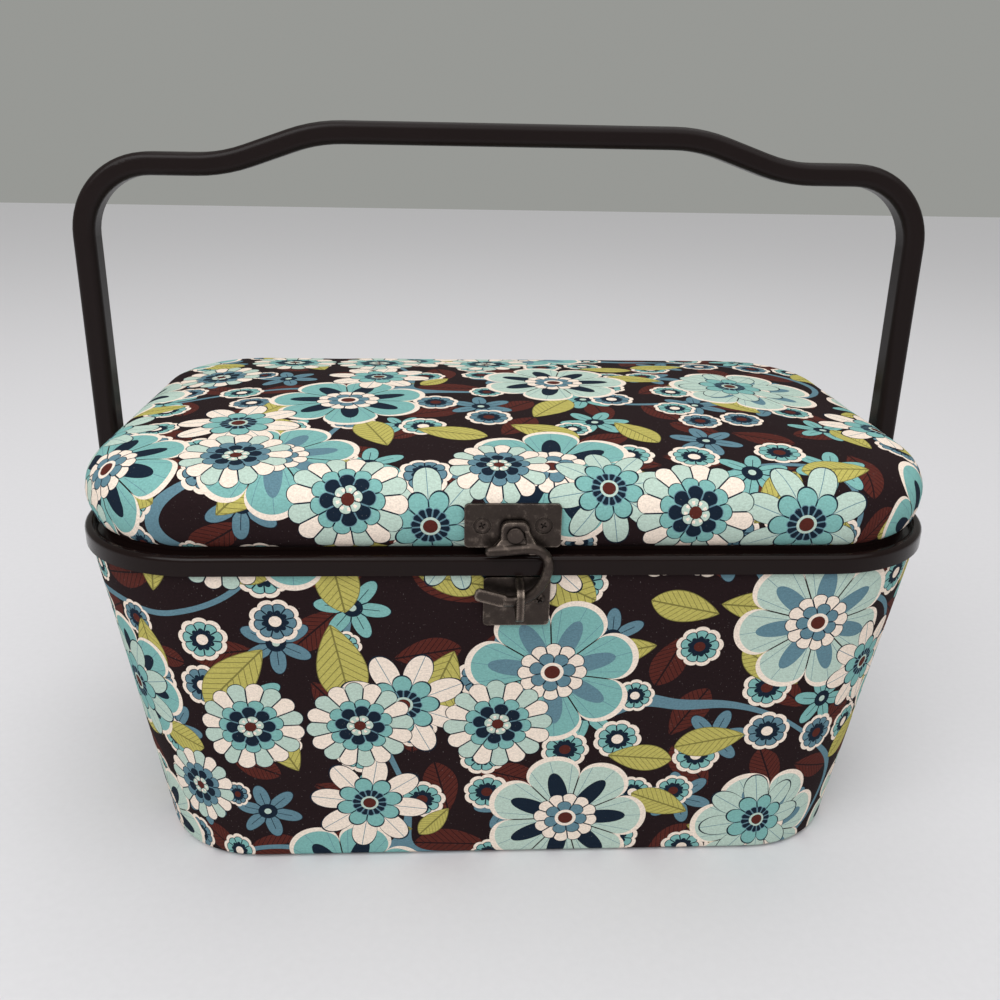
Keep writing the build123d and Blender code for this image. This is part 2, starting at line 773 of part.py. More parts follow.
def make_handle_pin(side):
    start = handle_w / 2 + running_gap
    end = clip_x - clip_t
    shank = Pos((start + end) / 2, 0, 0) * Rot(0, 90, 0) * Cylinder(handle_pin_r, start - end)
    head = Cylinder(handle_pin_head_r, handle_pin_head_t)
    head = fillet(head.edges().sort_by(Axis.Z)[-1], handle_pin_head_t * 0.8)
    head = Pos(start + handle_pin_head_t / 2, 0, 0) * Rot(0, 90, 0) * head
    pin = Pos(0, 0, handle_pivot_z) * (shank + head)
    return pin if side > 0 else mirror(pin, Plane.YZ)


def make_pin_clips():
    ring = Cylinder(clip_r, clip_t) - Cylinder(handle_pin_r + 0.02, clip_t + 1)
    return [Pos(s * clip_x, 0, handle_pivot_z) * Rot(0, 90, 0) * ring for s in (-1, 1)]


write(make_underside(), "underside_panel")
write(make_body_cover(), "body_cover")
write(make_wall_board(), "wall_board")
write(make_bottom_board(), "bottom_board")
write(make_rim(), "rim")
write(make_liner_board(), "liner_board")
write(make_well_lining(), "well_lining")
write(make_upper_lining(), "upper_lining")
write(make_floor_pad(), "floor_pad")
write(make_tray(), "tray")
write(make_lid_cover(), "lid_cover")
write(make_lid_foam(), "lid_foam")
write(make_lid_pan(), "lid_pan")
write(make_lid_lining(), "lid_lining")
write(make_lid_ring(), "lid_ring")
write(make_pin_cushion(), "pin_cushion")
write(make_lid_pocket(), "lid_pocket")
write(make_pocket_elastic(), "pocket_elastic")
write(make_latch_plate(), "latch_plate")
write(make_latch_pivot(), "latch_pivot")
write(make_latch_hook(), "latch_hook")
write(make_keeper_plate(), "keeper_plate")
write(make_keeper_loop(), "keeper_loop")
write(make_handle(), "handle")

for name, side in (("left", -1), ("right", 1)):
    write(make_body_leaf(side * hinge_x), "hinge_body_leaf_" + name)
    write(make_lid_leaf(side * hinge_x), "hinge_lid_leaf_" + name)
    write(make_hinge_pin(side * hinge_x), "hinge_pin_" + name)
    write(make_handle_pin(side), "handle_pin_" + name)

groups = {
    "latch_screws": screws(latch_screws_at, flat_screw, lid_screw_l),
    "keeper_screws": screws(keeper_screws_at, dome_screw, wall_screw_l),
    "hinge_body_screws": screws(body_hinge_screws_at, flat_screw, wall_screw_l),
    "hinge_lid_screws": screws(lid_hinge_screws_at, flat_screw, lid_screw_l),
    "handle_pin_clips": make_pin_clips(),
}
for name, solids in groups.items():
    write(Compound(children=solids), name)
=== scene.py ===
import math
from types import SimpleNamespace

import bmesh
import bpy
from mathutils import Matrix, Vector, noise


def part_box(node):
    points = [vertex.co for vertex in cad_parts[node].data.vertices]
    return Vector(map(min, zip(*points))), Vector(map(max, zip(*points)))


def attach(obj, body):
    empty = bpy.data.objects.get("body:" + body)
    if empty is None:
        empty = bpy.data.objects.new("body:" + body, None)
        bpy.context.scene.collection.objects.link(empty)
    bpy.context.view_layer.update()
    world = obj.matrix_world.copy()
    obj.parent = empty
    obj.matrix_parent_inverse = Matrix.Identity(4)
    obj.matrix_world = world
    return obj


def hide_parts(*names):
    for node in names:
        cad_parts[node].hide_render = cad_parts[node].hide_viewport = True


bl_info = {
    "name": "Sewing Box",
    "version": (1, 0, 0),
    "blender": (4, 5, 0),
    "location": "View3D > Sidebar > Sewing Box",
    "description": "Dresses the packed sewing box in printed cotton, satin, plastic and bronze",
    "category": "Object",
}

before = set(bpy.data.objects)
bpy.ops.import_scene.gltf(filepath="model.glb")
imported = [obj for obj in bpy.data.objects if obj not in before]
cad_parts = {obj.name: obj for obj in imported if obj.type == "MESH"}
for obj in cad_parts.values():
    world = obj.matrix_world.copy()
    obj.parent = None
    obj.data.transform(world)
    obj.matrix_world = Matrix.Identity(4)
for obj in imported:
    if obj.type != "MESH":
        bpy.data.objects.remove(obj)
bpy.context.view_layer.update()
rim_low, rim_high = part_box("rim")
cover_low, cover_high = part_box("body_cover")
lid_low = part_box("lid_cover")[0]

# Name of the layout that cloth materials read, and samples of the shader's edge and hollow masks
CLOTH = "Cloth"
MASK_SAMPLES = 6

# The print's ink lines, the weave's threads and the elastic's ribs, in metres
INK_WIDTH = 0.00032
THREAD_PITCH = 0.00052
RIB_PITCH = 0.0012

# A motif with less room than this share of its full size isn't printed
LEAST_ROOM = 0.66
LINT_COLOUR = (0.34, 0.30, 0.29)

# Limits of the shells' outlines, and the angle past which an edge stays sharp
TINY = 1e-7
LEAST_CORNER = 0.004
LAST_RING = 0.0005
SHARP_EDGE = math.radians(50)

# Points that tell a face's outer side
BOX_MIDDLE = Vector((0, 0, 0.08))
ABOVE = (0, 0, 0.2)

# Cloth beyond SIDE_WALLS is opened round the handle's pins
SIDE_WALLS = 0.13
PIN_OPENING = 0.0034

# Padding beyond NEAR_PLATES is pressed to the back of the lid's plates, and slopes away from them
NEAR_PLATES = 0.06
PLATE_BACK = 0.0915
PRESS_SLOPE = 0.15

# Stage: each lamp has its name, place, size and power, and the camera its yaw, pitch and roll
FLOOR_HALF = 3.0
FLOOR_COLOUR = (0.67, 0.66, 0.685)
SKY_COLOUR = (0.65, 0.66, 0.625, 1)
SKY_STRENGTH = 0.48
SUN_STRENGTH = 1.35
LAMPS = (("key_light", (-0.75, -0.95, 1.25), 1.0, 12.5), ("top_light", (0.15, 0.35, 1.45), 1.2, 7.0))
CAMERA_TURN = (3.27, 20.33, 1.12)
CAMERA_AT = (-0.0234, -0.3947, 0.2623)
CAMERA_LENS = 36.605


# Sizes and colours that a user would change
def length(name, about, value):
    return bpy.props.FloatProperty(name=name, description=about, default=value, unit="LENGTH", precision=4)


def colour(name, about, value):
    return bpy.props.FloatVectorProperty(name=name, description=about, default=value, subtype="COLOR",
                                         size=3, min=0, max=1)


def number(name, about, value):
    return bpy.props.FloatProperty(name=name, description=about, default=value)


class BoxSizes(bpy.types.PropertyGroup):
    rim_width: length("Rim width", "Width of the rim band, without its pivot bosses", 0.300)
    rim_depth: length("Rim depth", "Depth of the rim band", rim_high.y - rim_low.y)
    rim_corner: length("Rim corner", "Corner radius of the rim", 0.046)
    band_bottom: length("Band bottom", "Height of the rim band's lower edge", 0.1245)
    cover_offset: length("Cover offset", "How far the cover's top sits inside the band", 0.0016)
    base_corner: length("Base corner", "Corner radius of the body at the table", 0.040)
    wall_taper: number("Wall taper", "Lean of the walls, in degrees", 7.0)
    fabric: length("Fabric", "Thickness of the printed cotton", 0.0008)
    lid_bottom: length("Lid bottom", "Height of the lid's lower edge", lid_low.z)
    lid_waist: length("Lid waist", "Height at which the padded lid is widest", 0.1435)
    lid_bulge: length("Lid bulge", "Inset of the lid's widest line from the rim", 0.0018)
    lid_shoulder: length("Lid shoulder", "Radius of the lid's padded shoulder", 0.015)
    lid_shoulder_h: length("Lid shoulder height", "Rise from the waist to the crown's edge", 0.014)
    lid_tuck: length("Lid tuck", "Height of the arc that tucks the cover under", 0.018)
    lid_crown: length("Lid crown", "Rise of the crown above its edge", 0.0042)


class PrintColours(bpy.types.PropertyGroup):
    ground: colour("Ground", "Near-black brown ground", (0.014, 0.0065, 0.0075))
    teal: colour("Teal", "Aqua petals", (0.19, 0.41, 0.39))
    mint: colour("Mint", "Pale mint petals", (0.45, 0.57, 0.50))
    cream: colour("Cream", "Warm white petals", (0.82, 0.70, 0.60))
    navy: colour("Navy", "Dark blue petals and lines", (0.006, 0.014, 0.028))
    slate: colour("Slate", "Slate blue petals", (0.11, 0.21, 0.26))
    lime: colour("Lime", "Olive lime leaves", (0.46, 0.41, 0.11))
    rust: colour("Rust", "Rust brown leaves and dots", (0.085, 0.018, 0.013))


class FinishColours(bpy.types.PropertyGroup):
    rim: colour("Rim", "Dark brown gloss plastic", (0.0098, 0.0052, 0.0047))
    handle: colour("Handle", "Dark brown satin plastic", (0.0105, 0.0062, 0.0060))
    bronze: colour("Bronze", "Antique bronze in its hollows", (0.052, 0.040, 0.034))
    bronze_worn: colour("Worn bronze", "Antique bronze where it is rubbed", (0.42, 0.34, 0.28))
    satin: colour("Satin", "Lining satin", (0.66, 0.58, 0.45))
    cushion: colour("Cushion", "Pin cushion cotton", (0.10, 0.30, 0.30))
    tray: colour("Tray", "Tray plastic", (0.62, 0.56, 0.44))
    board: colour("Board", "Pressed board", (0.30, 0.20, 0.12))
    card: colour("Card", "Liner card", (0.45, 0.37, 0.27))
    elastic: colour("Elastic", "Pocket elastic", (0.55, 0.49, 0.38))
    steel: colour("Steel", "Spring steel clips", (0.55, 0.55, 0.55))
    felt: colour("Felt", "Felt under the box", (0.020, 0.017, 0.016))


def sizes():
    return bpy.context.scene.box_sizes


# Shader maths
def maths(operation, swapped=False):
    """A method of Value that adds one Math node to its finish."""
    def method(self, *others):
        values = others + (self,) if swapped else (self,) + others
        return self.finish.value("ShaderNodeMath", {"operation": operation}, dict(enumerate(values)))
    return method


class Value:
    """A shader value. Python's operators on it add Math nodes to its finish."""

    def __init__(self, finish, socket):
        self.finish = finish
        self.socket = socket

    __add__ = __radd__ = maths("ADD")
    __sub__ = maths("SUBTRACT")
    __rsub__ = maths("SUBTRACT", swapped=True)
    __mul__ = __rmul__ = maths("MULTIPLY")
    __truediv__ = maths("DIVIDE")
    __rtruediv__ = maths("DIVIDE", swapped=True)
    __pow__ = maths("POWER")
    __abs__ = maths("ABSOLUTE")
    __lt__ = maths("LESS_THAN")
    __gt__ = maths("GREATER_THAN")
    least = maths("MINIMUM")
    most = maths("MAXIMUM")
    cos = maths("COSINE")
    sin = maths("SINE")
    part = maths("FRACT")
    arctan2 = maths("ARCTAN2")


class Finish:
    """One material and the nodes that make it."""

    def __init__(self, name):
        self.material = bpy.data.materials.new(name)
        self.material.use_nodes = True
        self.tree = self.material.node_tree
        self.shader = self.tree.nodes["Principled BSDF"]

    def node(self, kind, settings=None, inputs=None):
        made = self.tree.nodes.new(kind)
        for key, value in (settings or {}).items():
            setattr(made, key, value)
        for key, value in (inputs or {}).items():
            self.feed(made.inputs[key], value)
        return made

    def feed(self, socket, value):
        if isinstance(value, Value):
            value = value.socket
        if isinstance(value, bpy.types.NodeSocket):
            self.tree.links.new(value, socket)
        elif socket.type == "RGBA":
            socket.default_value = tuple(value)[:3] + (1,)
        else:
            socket.default_value = value

    def value(self, kind, settings=None, inputs=None, output=0):
        return Value(self, self.node(kind, settings, inputs).outputs[output])

    def blend(self, low, high, mask):
        """Colour low where mask is 0 and high where it is 1."""
        return self.node("ShaderNodeMix", {"data_type": "RGBA"}, {0: mask, 6: low, 7: high}).outputs[2]

    def tint(self, base, amount):
        """A colour made lighter or darker by a value round 1."""
        grey = self.node("ShaderNodeCombineColor", None, {0: amount, 1: amount, 2: amount}).outputs[0]
        settings = {"data_type": "RGBA", "blend_type": "MULTIPLY"}
        return self.node("ShaderNodeMix", settings, {0: 1.0, 6: base, 7: grey}).outputs[2]

    def step(self, value, low, high):
        settings = {"interpolation_type": "SMOOTHSTEP"}
        return self.value("ShaderNodeMapRange", settings, {0: value, 1: low, 2: high})

    def split(self, vector):
        return [Value(self, out) for out in self.node("ShaderNodeSeparateXYZ", None, {0: vector}).outputs]

    def place(self):
        return self.node("ShaderNodeTexCoord").outputs["Object"]

    def cloth(self):
        """The piece's own layout of its cloth, in metres."""
        return self.node("ShaderNodeUVMap", {"uv_map": CLOTH}).outputs[0]

    def grain(self, scale, detail=3.0, rough=0.55, at=None, squeeze=None):
        """Noise from 0 to 1, at a scale in lumps a metre."""
        at = at or self.place()
        if squeeze:
            at = self.node("ShaderNodeMapping", None, {0: at, 3: squeeze}).outputs[0]
        inputs = {"Vector": at, "Scale": scale, "Detail": detail, "Roughness": rough}
        return self.value("ShaderNodeTexNoise", None, inputs)

    def bump(self, height, depth, strength=1.0):
        made = self.node("ShaderNodeBump", None, {"Height": height, "Distance": depth, "Strength": strength})
        self.feed(self.shader.inputs["Normal"], made.outputs[0])

    def edge_wear(self, radius, low, high):
        """A mask that is 1 along edges."""
        soft = self.node("ShaderNodeBevel", {"samples": MASK_SAMPLES}, {"Radius": radius}).outputs[0]
        hard = self.node("ShaderNodeNewGeometry").outputs["Normal"]
        dot = self.value("ShaderNodeVectorMath", {"operation": "DOT_PRODUCT"}, {0: soft, 1: hard}, "Value")
        return self.step(1 - dot, low, high)

    def hollow(self, distance):
        """A mask that falls from 1 towards 0 in hollows and corners, for painting shade there."""
        settings = {"only_local": False, "samples": MASK_SAMPLES}
        return self.value("ShaderNodeAmbientOcclusion", settings, {"Distance": distance}, "AO")

    def set(self, **sockets):
        for name, value in sockets.items():
            self.feed(self.shader.inputs[name.replace("_", " ")], value)
        return self.material


# Printed cotton
class Spot:
    """One motif's own place in a scattered field: polar and straight coordinates and random values."""

    def __init__(self, finish, cell, shift, jitter, largest):
        moved = {0: finish.cloth(), 1: (shift, shift * 0.61, 0), 3: (1 / cell, 1 / cell, 1)}
        at = finish.node("ShaderNodeMapping", None, moved).outputs[0]
        inputs = {"Vector": at, "Scale": 1.0, "Randomness": jitter}
        cells = finish.node("ShaderNodeTexVoronoi", {"voronoi_dimensions": "2D"}, inputs)
        ball = {"voronoi_dimensions": "2D", "feature": "N_SPHERE_RADIUS"}
        room = finish.value("ShaderNodeTexVoronoi", ball, inputs, "Radius")
        ends = {0: at, 1: cells.outputs["Position"]}
        off = finish.node("ShaderNodeVectorMath", {"operation": "SUBTRACT"}, ends).outputs[0]
        off_x, off_y, _ = finish.split(off)
        chance = finish.node("ShaderNodeSeparateColor", None, {0: cells.outputs["Color"]})
        self.size = room.least(largest / cell)
        self.x = off_x / self.size
        self.y = off_y / self.size
        self.reach = (self.x * self.x + self.y * self.y) ** 0.5
        self.a, self.b, self.c = (Value(finish, out) for out in chance.outputs[:3])
        self.turn = self.a * math.tau
        self.angle = self.y.arctan2(self.x) + self.turn
        self.ink = INK_WIDTH / cell / self.size
        self.open = self.size > LEAST_ROOM * largest / cell

    def ring(self, count, reach, depth, turn=0.0, point=0.5):
        """Masks of a ring of petals and of the ink lines round and between them."""
        half = self.angle * (count / 2) + turn
        wave = abs(half.cos())
        edge = (1 - depth + depth * wave ** point) * reach
        inside = self.reach < edge
        around = abs(self.reach - edge) < self.ink
        between = (wave * self.reach * (2 / count)) < self.ink * 0.8
        return inside, around.most(between * inside)

    def ribs(self, pairs, width):
        """A mask of fine lines that run out from the middle."""
        return (abs((self.angle * pairs).sin()) * self.reach) < self.ink * width

    def disc(self, reach):
        return self.reach < reach

    def leaf(self, slim):
        """Masks of a leaf and of its veins."""
        along = self.x * self.turn.cos() + self.y * self.turn.sin()
        across = abs(self.y * self.turn.cos() - self.x * self.turn.sin())
        half = (1 - along * along).most(0) ** 0.8 * (1 - along * 0.3) * slim
        inside = across < half
        veins = ((along + across * 0.9) * 5.5).part() < 0.13
        edge = abs(across - half) < self.ink
        return inside, veins.most(across < self.ink).most(edge) * inside


def paint(finish, under, layers, shown=None):
    """Lays coloured masks over a colour, one after another, where shown is 1."""
    for shade, mask in layers:
        under = finish.blend(under, shade, mask if shown is None else mask * shown)
    return under


def daisy(finish, spot, shades):
    """A flower of many narrow petals with layered rosettes in its middle."""
    outer, outer_ink = spot.ring(16, 1.0, 0.16)
    second, second_ink = spot.ring(11, 0.62, 0.18, 0.4)
    third, third_ink = spot.ring(8, 0.47, 0.30, 0.9)
    heart, heart_ink = spot.ring(6, 0.26, 0.22)
    petal = finish.blend(shades.cream, shades.mint, (spot.angle * 8).cos() > 0)
    ring_tone = finish.blend(shades.teal, shades.slate, spot.b > 0.6)
    beads = ((spot.angle * 9).cos() > 0.2) * (abs(spot.reach - 0.165) < 0.03)
    return ((petal, outer), (shades.navy, outer_ink * outer),
            (ring_tone, second), (shades.navy, second_ink * second),
            (shades.navy, third), (shades.slate, third_ink * third),
            (shades.mint, heart), (shades.navy, heart_ink * heart),
            (shades.cream, beads), (shades.rust, spot.disc(0.11)))


def poppy(finish, spot, shades):
    """A large open flower of broad petals with a pale edge."""
    outer, outer_ink = spot.ring(7, 1.0, 0.34, 0.0, 0.4)
    inner, _ = spot.ring(7, 0.93, 0.34, 0.0, 0.4)
    blade, _ = spot.ring(7, 0.74, 0.80, 0.0, 1.6)
    collar, collar_ink = spot.ring(12, 0.40, 0.16)
    core, core_ink = spot.ring(7, 0.27, 0.30, 0.5)
    tone = finish.blend(shades.teal, shades.mint, spot.b > 0.5)
    deep = finish.blend(shades.navy, shades.slate, spot.c > 0.7)
    return ((shades.cream, outer), (tone, inner), (shades.slate, spot.ribs(10.5, 3.0) * inner),
            (deep, blade), (shades.ground, outer_ink * inner),
            (shades.cream, collar), (shades.navy, collar_ink * collar),
            (shades.slate, core), (shades.navy, core_ink * core),
            (shades.cream, spot.disc(0.13)), (shades.rust, spot.disc(0.09)))


def cosmos(finish, spot, shades):
    """An open flower of eight separate petals round a dark eye."""
    outer, outer_ink = spot.ring(8, 1.0, 0.66, 0.0, 0.55)
    second, second_ink = spot.ring(8, 0.56, 0.40, math.pi / 2)
    collar, collar_ink = spot.ring(14, 0.30, 0.14)
    petal = finish.blend(shades.cream, shades.mint, spot.a > 0.62)
    return ((petal, outer), (shades.slate, spot.ribs(4, 1.6) * outer),
            (shades.navy, outer_ink * spot.disc(1.05)),
            (shades.teal, second), (shades.navy, second_ink),
            (shades.navy, collar), (shades.slate, collar_ink * collar),
            (shades.mint, spot.disc(0.15)), (shades.rust, spot.disc(0.11)))


def star_flower(finish, spot, shades):
    """A flower of six pointed petals in one tone with a dark eye."""
    outer, outer_ink = spot.ring(6, 1.0, 0.58, 0.0, 1.5)
    tone = finish.blend(shades.slate, shades.teal, spot.b > 0.5)
    return ((tone, outer), (shades.navy, spot.ribs(3, 1.2) * spot.disc(0.7) * outer),
            (shades.navy, outer_ink * outer), (shades.navy, spot.disc(0.27)), (shades.mint, spot.disc(0.10)))


def button_flower(finish, spot, shades):
    """A small flower with a scalloped pale edge."""
    outer, _ = spot.ring(9, 1.0, 0.14)
    inner, inner_ink = spot.ring(9, 0.82, 0.14)
    star, _ = spot.ring(9, 0.52, 0.45)
    tone = finish.blend(shades.teal, shades.slate, spot.b > 0.55)
    middle = finish.blend(shades.cream, shades.rust, spot.c > 0.5)
    return ((shades.cream, outer), (tone, inner), (shades.navy, inner_ink * inner), (shades.navy, star),
            (middle, spot.disc(0.24)))


def printed_cotton(name):
    """Flowers and leaves scattered over a near-black brown ground, and a plain weave."""
    finish = Finish(name)
    colours = bpy.context.scene.print_colours
    shades = SimpleNamespace(**{key: tuple(getattr(colours, key)) for key in PrintColours.__annotations__})
    olive = tuple(c * 0.42 for c in shades.lime)
    rust_leaves = Spot(finish, 0.030, 3.3, 0.60, 0.0145)
    lime_leaves = Spot(finish, 0.034, 7.9, 0.60, 0.0175)
    small = Spot(finish, 0.024, 1.7, 0.66, 0.0088)
    pointed = Spot(finish, 0.039, 2.6, 0.60, 0.0130)
    open_flowers = Spot(finish, 0.058, 14.9, 0.56, 0.0225)
    middling = Spot(finish, 0.052, 11.3, 0.56, 0.0195)
    large = Spot(finish, 0.080, 5.2, 0.55, 0.0305)

    def flowers(under, flower, spot, shown):
        return paint(finish, under, flower(finish, spot, shades), shown * spot.open)

    leaf, veins = rust_leaves.leaf(0.52)
    picture = paint(finish, shades.ground, ((shades.rust, leaf), (shades.ground, veins)))
    drift = finish.grain(9.0, 1.0, 0.3, finish.cloth())
    vine = (abs(drift - 0.5) < 0.006) * (drift > 0.2)
    picture = finish.blend(picture, shades.slate, vine)
    picture = flowers(picture, star_flower, pointed, pointed.a > 0.28)
    picture = flowers(picture, button_flower, small, small.a > 0.32)
    leaf, veins = lime_leaves.leaf(0.50)
    picture = paint(finish, picture, ((shades.lime, leaf), (olive, veins)), lime_leaves.b > 0.16)
    picture = flowers(picture, poppy, large, large.a > 0.26)
    picture = flowers(picture, cosmos, open_flowers, open_flowers.b > 0.54)
    picture = flowers(picture, daisy, middling, middling.c > 0.60)
    fleck = finish.grain(1700.0, 2.0, 0.6, finish.cloth())
    slub = finish.grain(750.0, 2.0, 0.6, finish.cloth(), (1, 1.8, 1))
    fade = finish.grain(35.0, 2.0, 0.5, finish.cloth())
    lint = finish.step(finish.grain(1150.0, 1.0, 0.5, finish.cloth(), (1.6, 1, 1)), 0.70, 0.80)
    speckle = finish.step(fleck, 0.32, 0.68) * 0.17 + finish.step(slub, 0.34, 0.66) * 0.13
    picture = finish.tint(picture, 0.82 + speckle + fade * 0.08)
    picture = finish.blend(picture, LINT_COLOUR, lint * 0.35)
    warp, weft, _ = ((threads * (math.tau / THREAD_PITCH)).sin() for threads in finish.split(finish.cloth()))
    finish.bump(warp * weft * 0.5 + fleck, 0.00006, 0.6)
    return finish.set(Base_Color=picture, Roughness=0.82 + fleck * 0.12, Specular_IOR_Level=0.12)


# Other finishes
def glossy_plastic(name, shade, rough, worn, gloss=0.5):
    """Moulded plastic with faint flow marks, fine scratches and rubbed edges."""
    finish = Finish(name)
    flow = finish.grain(55.0, 3.0)
    scratch = finish.grain(900.0, 2.0, 0.5, squeeze=(1, 14, 14))
    edge = finish.edge_wear(0.0009, 0.06, 0.5)
    pale = tuple(min(1, c * 2.6 + 0.01) for c in shade)
    body = finish.tint(shade, 0.92 + flow * 0.16)
    finish.bump(flow + scratch * 0.25, 0.00010, 0.4)
    return finish.set(Base_Color=finish.blend(body, pale, edge * worn), Specular_IOR_Level=gloss,
                      Roughness=rough + scratch * 0.12 + flow * 0.06)


def antique_bronze(name, shade, lift, rubbing, radius=0.0011, sharp=0.60):
    """Cast bronze with painted shade in its hollows, rubbed brighter along its edges and in patches."""
    finish = Finish(name)
    bright = tuple(bpy.context.scene.finish_colours.bronze_worn)
    dark = tuple(c * lift for c in shade)
    cloud = finish.grain(330.0, 4.0, 0.62)
    pits = finish.grain(1500.0, 3.0, 0.6)
    edge = finish.edge_wear(radius, 0.03, sharp)
    rubbed = finish.step(cloud * 0.9 + pits * 0.25 + edge * rubbing, 0.60, 1.20)
    # Painted shade: the occlusion mask, squared, darkens the colour in hollows and corners and keeps the
    # rubbed brightness out of them.
    hollow_shade = finish.hollow(0.0012)
    body = finish.tint(dark, (0.45 + cloud * 0.6 + pits * 0.4) * hollow_shade * hollow_shade)
    finish.bump(cloud * 0.6 + pits * 0.5, 0.00006, 0.5)
    return finish.set(Base_Color=finish.blend(body, bright, rubbed * hollow_shade), Metallic=0.9,
                      Roughness=0.31 - rubbed * 0.08 + pits * 0.16)


def satin_cloth(name, shade):
    """Satin with a fine lengthwise thread and slow changes of tone."""
    finish = Finish(name)
    fold = finish.grain(30.0, 2.0, 0.5, finish.cloth())
    thread = finish.grain(1500.0, 2.0, 0.5, finish.cloth(), (1, 9, 1))
    finish.bump(thread, 0.00005, 0.5)
    return finish.set(Base_Color=finish.tint(shade, 0.84 + fold * 0.14 + thread * 0.14),
                      Roughness=0.42 + thread * 0.14, Sheen_Weight=0.25, Sheen_Roughness=0.35)


def matte_cotton(name, shade):
    """Plain cotton or felt, a little faded in places."""
    finish = Finish(name)
    thread = finish.grain(1900.0, 2.0, 0.6)
    fade = finish.grain(60.0)
    finish.bump(thread, 0.00008, 0.6)
    return finish.set(Base_Color=finish.tint(shade, 0.75 + thread * 0.3 + fade * 0.14), Roughness=0.86,
                      Sheen_Weight=0.15)


def ribbed_elastic(name, shade):
    """Woven elastic with ribs along its length."""
    finish = Finish(name)
    along = finish.split(finish.place())[1]
    rib = (along * (math.tau / RIB_PITCH)).sin() * 0.5 + 0.5
    thread = finish.grain(1600.0)
    finish.bump(rib + thread * 0.4, 0.0002, 0.7)
    return finish.set(Base_Color=finish.tint(shade, 0.72 + rib * 0.2 + thread * 0.14), Roughness=0.8)


def pressed_board(name, shade):
    """Pressed fibre board or card."""
    finish = Finish(name)
    fibre = finish.grain(260.0, 5.0, 0.7)
    speck = finish.grain(1400.0, 2.0, 0.6)
    finish.bump(fibre + speck, 0.0002, 0.5)
    return finish.set(Base_Color=finish.tint(shade, 0.6 + fibre * 0.5 + speck * 0.3), Roughness=0.85)


def bright_steel(name, shade):
    """Brushed spring steel."""
    finish = Finish(name)
    brushed = finish.grain(900.0, 2.0, 0.5, squeeze=(1, 20, 1))
    finish.bump(brushed, 0.00004, 0.4)
    return finish.set(Base_Color=finish.tint(shade, 0.85 + brushed * 0.25), Metallic=1.0,
                      Roughness=0.28 + brushed * 0.18)


# Each finish, with its maker, the colour that it starts from and the maker's other values
FINISHES = {
    "printed_cotton": (printed_cotton,),
    "rim_plastic": (glossy_plastic, "rim", 0.07, 0.09, 0.13),
    "handle_plastic": (glossy_plastic, "handle", 0.24, 0.09, 0.14),
    "tray_plastic": (glossy_plastic, "tray", 0.30, 0.10),
    "pin_steel": (glossy_plastic, "rim", 0.30, 0.6),
    "bronze": (antique_bronze, "bronze", 1.0, 0.45),
    "bronze_screw": (antique_bronze, "bronze", 1.25, 0.10),
    "cast_bronze": (antique_bronze, "bronze", 1.1, 0.75, 0.0024, 0.30),
    "clip_steel": (bright_steel, "steel"),
    "satin": (satin_cloth, "satin"),
    "cushion_cotton": (matte_cotton, "cushion"),
    "underside_fabric": (matte_cotton, "felt"),
    "elastic": (ribbed_elastic, "elastic"),
    "wall_board": (pressed_board, "board"),
    "liner_card": (pressed_board, "card"),
}
finishes = {}


def finish_for(name):
    """A finish of the table, made when it is first asked for."""
    if name not in finishes:
        maker, *values = FINISHES[name]
        if values:
            values[0] = tuple(getattr(bpy.context.scene.finish_colours, values[0]))
        finishes[name] = maker(name, *values)
    return finishes[name]


def dress_node(name, slot):
    """Gives a CAD node its material."""
    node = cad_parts[name]
    if not node.data.materials:
        node.data.materials.append(None)
    for place in node.material_slots:
        place.material = finish_for(slot)


# Shapes that run round the box
def wall_size(z, inset=0.0):
    """Half width, half depth and corner radius of the covered wall at a height."""
    box = sizes()
    taper = math.radians(box.wall_taper)
    drop = (box.band_bottom - z) * math.tan(taper) + box.cover_offset + inset / math.cos(taper)
    top_corner = box.rim_corner - box.cover_offset
    corner = box.base_corner + (top_corner - box.base_corner) * z / box.band_bottom
    return box.rim_width / 2 - drop, box.rim_depth / 2 - drop, max(corner - inset, 0.001)


def wall_station(z, inset, reach=0.0):
    """An outline of the covered wall at a height, drawn in by an inset."""
    return (*wall_size(z, inset), z, reach)


def node_box(name):
    """A node's box, with its middle, half width and half depth."""
    low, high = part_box(name)
    return low, high, (low + high) / 2, (high.x - low.x) / 2, (high.y - low.y) / 2


def lid_station(draw, z, reach):
    """An outline of the lid, drawn in from the rim's."""
    box = sizes()
    half_d = box.rim_depth / 2 - draw
    corner = max(box.rim_corner - draw, LEAST_CORNER)
    return box.rim_width / 2 - draw, half_d, min(corner, half_d - LAST_RING), z, reach


def edge_at(around, station):
    """Where a point lies on a rounded rectangle, from its place along it."""
    half_w, half_d, corner = station[:3]
    return Vector((around[0] * (half_w - corner) + around[2] * corner,
                   around[1] * (half_d - corner) + around[3] * corner, station[3]))


